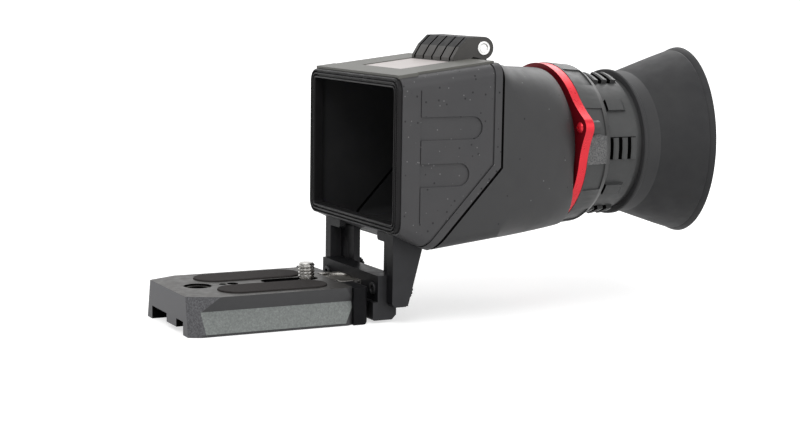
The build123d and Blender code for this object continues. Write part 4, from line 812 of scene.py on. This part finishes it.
def smooth_line(points, steps):
    """A Catmull-Rom line through (depth, radius) points."""
    line = []
    for index in range(len(points) - 1):
        before = points[max(index - 1, 0)]
        start, end = points[index], points[index + 1]
        after = points[min(index + 2, len(points) - 1)]
        for step in range(steps):
            t = step / steps
            line.append(tuple(
                s + (e - b) * t / 2
                + (2 * b - 5 * s + 4 * e - a) * t ** 2 / 2
                + (3 * s - b - 3 * e + a) * t ** 3 / 2
                for b, s, e, a in zip(before, start, end, after)
            ))
    line.append(points[-1])
    return line


def cup_form(line, start):
    """A closed skin about the optical axis from a closed line of (length, radius) in millimetres."""
    form = bmesh.new()
    rings = []
    for length, radius in line:
        lean = cup_tilt * max(0, (length - cup_collar_length) / cup_funnel_length)
        ring = []
        for step in range(cup_segments):
            angle = 2 * math.pi * step / cup_segments
            across, up = radius * mm * math.cos(angle), radius * mm * math.sin(angle)
            ring.append(form.verts.new((
                across * math.cos(lean), start + length * mm - across * math.sin(lean), EYE_Z + up,
            )))
        rings.append(ring)
    for here, there in zip(rings, rings[1:] + rings[:1]):
        for step in range(cup_segments):
            after = (step + 1) % cup_segments
            form.faces.new((here[step], here[after], there[after], there[step]))
    bmesh.ops.recalc_face_normals(form, faces=form.faces)
    for face in form.faces:
        face.material_index = 1 if face.calc_center_median().y < start + cup_collar_length * mm else 0
    return form


def make_eyecup():
    """The cup's section as (length, radius) in millimetres: outside to the rim, then back inside."""
    lip = [(0, 27.5), (0, 29.7), (0.4, 30.1), (1.3, 30.1), (1.7, 29.8)]
    collar = [(1.75, 29.45), (4, 29.4), (7.6, 29.4)]
    flare = [(8.1, 29.4), (9.8, 29.95), (16.1, 32.1), (26.7, 35.7), (32.9, 37.65)]
    bead = [(33.3, 37.75), (33.7, 37.7), (34.1, 38.05), (35.4, 38.65), (36.3, 39.0)]
    edge = [(36.8, 39.1), (37.3, 38.8), (37.7, 38.1), (37.85, 37.3)]
    inside = [(37.2, 36.6), (34.3, 35.9), (26.7, 33.5), (16.1, 29.9), (12.6, 27.1)]
    seat = [(12.2, 27.05), (1.7, 27.05)]
    line = lip + smooth_line(collar, 2) + smooth_line(flare, cup_smoothing) + bead + smooth_line(edge, 3)
    line += smooth_line(inside, cup_smoothing) + seat
    form = cup_form(line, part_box("eyecup")[0].y)
    make_piece(form, "eyecup_moulded", "eyecup", ("cup_rubber", "collar_rubber"))


def dress_lenses():
    """The lenses keep the CAD form, without rounded edges."""
    for name in ("front_lens", "rear_lens"):
        form = cad_form(name)
        make_piece(form, name + "_polished", name, ("lens_glass",))


# Stage
floor_half = 3.0
floor_back = 2.4
floor_rise = 3.0
floor_bend = 0.9
floor_steps = 24
floor_color = (0.6, 0.6, 0.6, 1)
white = (1, 1, 1, 1)
glow_near, glow_far = 0.16, 0.6
glow_low, glow_high = 0.62, 0.95


def make_floor():
    """A wide pale floor that curves up behind the object."""
    line = [(-floor_half, 0.0)]
    for step in range(floor_steps + 1):
        turn = math.radians(90) * step / floor_steps
        along = floor_back - floor_bend + floor_bend * math.sin(turn)
        line.append((along, floor_bend - floor_bend * math.cos(turn)))
    line.append((floor_back, floor_rise))
    form = bmesh.new()
    rows = []
    for along, up in line:
        rows.append([form.verts.new((side * floor_half, along, up)) for side in (-1, 1)])
    for near, far in zip(rows, rows[1:]):
        form.faces.new((near[0], near[1], far[1], far[0]))
    mesh = bpy.data.meshes.new("floor")
    form.to_mesh(mesh)
    form.free()
    floor = bpy.data.objects.new("floor", mesh)
    centre = (cad_low + cad_high) / 2
    turn = Matrix.Rotation(camera_azimuth, 4, "Z")
    floor.matrix_world = Matrix.Translation((centre.x, centre.y, cad_low.z)) @ turn
    bpy.context.collection.objects.link(floor)
    for face in mesh.polygons:
        face.use_smooth = True
    mesh.materials.append(floor_material())


def floor_material():
    """White to the camera and in reflections, and a pale surface that takes the object's shadow."""
    made = bpy.data.materials.new("floor")
    made.use_nodes = True
    tree = made.node_tree
    shader = tree.nodes["Principled BSDF"]
    shader.inputs["Base Color"].default_value = floor_color
    shader.inputs["Roughness"].default_value = 0.9
    glow = tree.nodes.new("ShaderNodeEmission")
    glow.inputs["Color"].default_value = white
    seen = seen_rays(tree)
    place = tree.nodes.new("ShaderNodeTexCoord")
    reach = tree.nodes.new("ShaderNodeVectorMath")
    reach.operation = "LENGTH"
    tree.links.new(place.outputs["Object"], reach.inputs[0])
    far = tree.nodes.new("ShaderNodeMapRange")
    far.inputs["From Min"].default_value = glow_near
    far.inputs["From Max"].default_value = glow_far
    far.inputs["To Min"].default_value = glow_low
    far.inputs["To Max"].default_value = glow_high
    tree.links.new(reach.outputs["Value"], far.inputs["Value"])
    strength = tree.nodes.new("ShaderNodeMath")
    strength.operation = "MULTIPLY"
    tree.links.new(far.outputs["Result"], strength.inputs[1])
    tree.links.new(seen, strength.inputs[0])
    tree.links.new(strength.outputs[0], glow.inputs["Strength"])
    both = tree.nodes.new("ShaderNodeAddShader")
    tree.links.new(shader.outputs[0], both.inputs[0])
    tree.links.new(glow.outputs[0], both.inputs[1])
    tree.links.new(both.outputs[0], tree.nodes["Material Output"].inputs["Surface"])
    return made


def seen_rays(tree):
    """1 for camera, glossy and transmission rays, else 0."""
    path = tree.nodes.new("ShaderNodeLightPath")
    value = path.outputs["Is Camera Ray"]
    for name in ("Is Glossy Ray", "Is Transmission Ray"):
        more = tree.nodes.new("ShaderNodeMath")
        more.operation = "MAXIMUM"
        tree.links.new(value, more.inputs[0])
        tree.links.new(path.outputs[name], more.inputs[1])
        value = more.outputs[0]
    return value


ambient_strength = 0.5


def make_world():
    """A soft even light that shows as plain white."""
    world = bpy.data.worlds.new("world")
    bpy.context.scene.world = world
    world.use_nodes = True
    tree = world.node_tree
    back = tree.nodes["Background"]
    back.inputs["Color"].default_value = white
    strength = tree.nodes.new("ShaderNodeMapRange")
    strength.inputs["To Min"].default_value = ambient_strength
    strength.inputs["To Max"].default_value = 1.0
    tree.links.new(seen_rays(tree), strength.inputs["Value"])
    tree.links.new(strength.outputs["Result"], back.inputs["Strength"])


def make_lamp(name, azimuth, elevation, distance, size, power):
    """A square soft lamp that looks at the object's middle from an azimuth and elevation."""
    data = bpy.data.lights.new(name, "AREA")
    data.size = size
    data.energy = power
    lamp = bpy.data.objects.new(name, data)
    a, e = math.radians(azimuth), math.radians(elevation)
    out = Vector((math.sin(a) * math.cos(e), -math.cos(a) * math.cos(e), math.sin(e)))
    centre = (cad_low + cad_high) / 2
    lamp.matrix_world = (
        Matrix.Translation(centre + out * distance)
        @ out.to_track_quat("Z", "Y").to_matrix().to_4x4()
    )
    bpy.context.collection.objects.link(lamp)


# Each lamp's azimuth and elevation in degrees, distance and size in metres, and power in watts
LAMPS = {
    "key": (40, 55, 1.2, 0.9, 7.5),
    "fill": (110, 25, 1.4, 1.0, 4.5),
    "rim": (215, 40, 1.3, 0.8, 5),
}


def make_lights():
    for name, values in LAMPS.items():
        make_lamp(name, *values)


make_camera()
dress_nodes()
make_rounded_pieces()
make_gasket()
make_camera_screw()
make_eyecup()
dress_lenses()
make_floor()
make_world()
make_lights()
bpy.context.scene.view_settings.view_transform = "Standard"
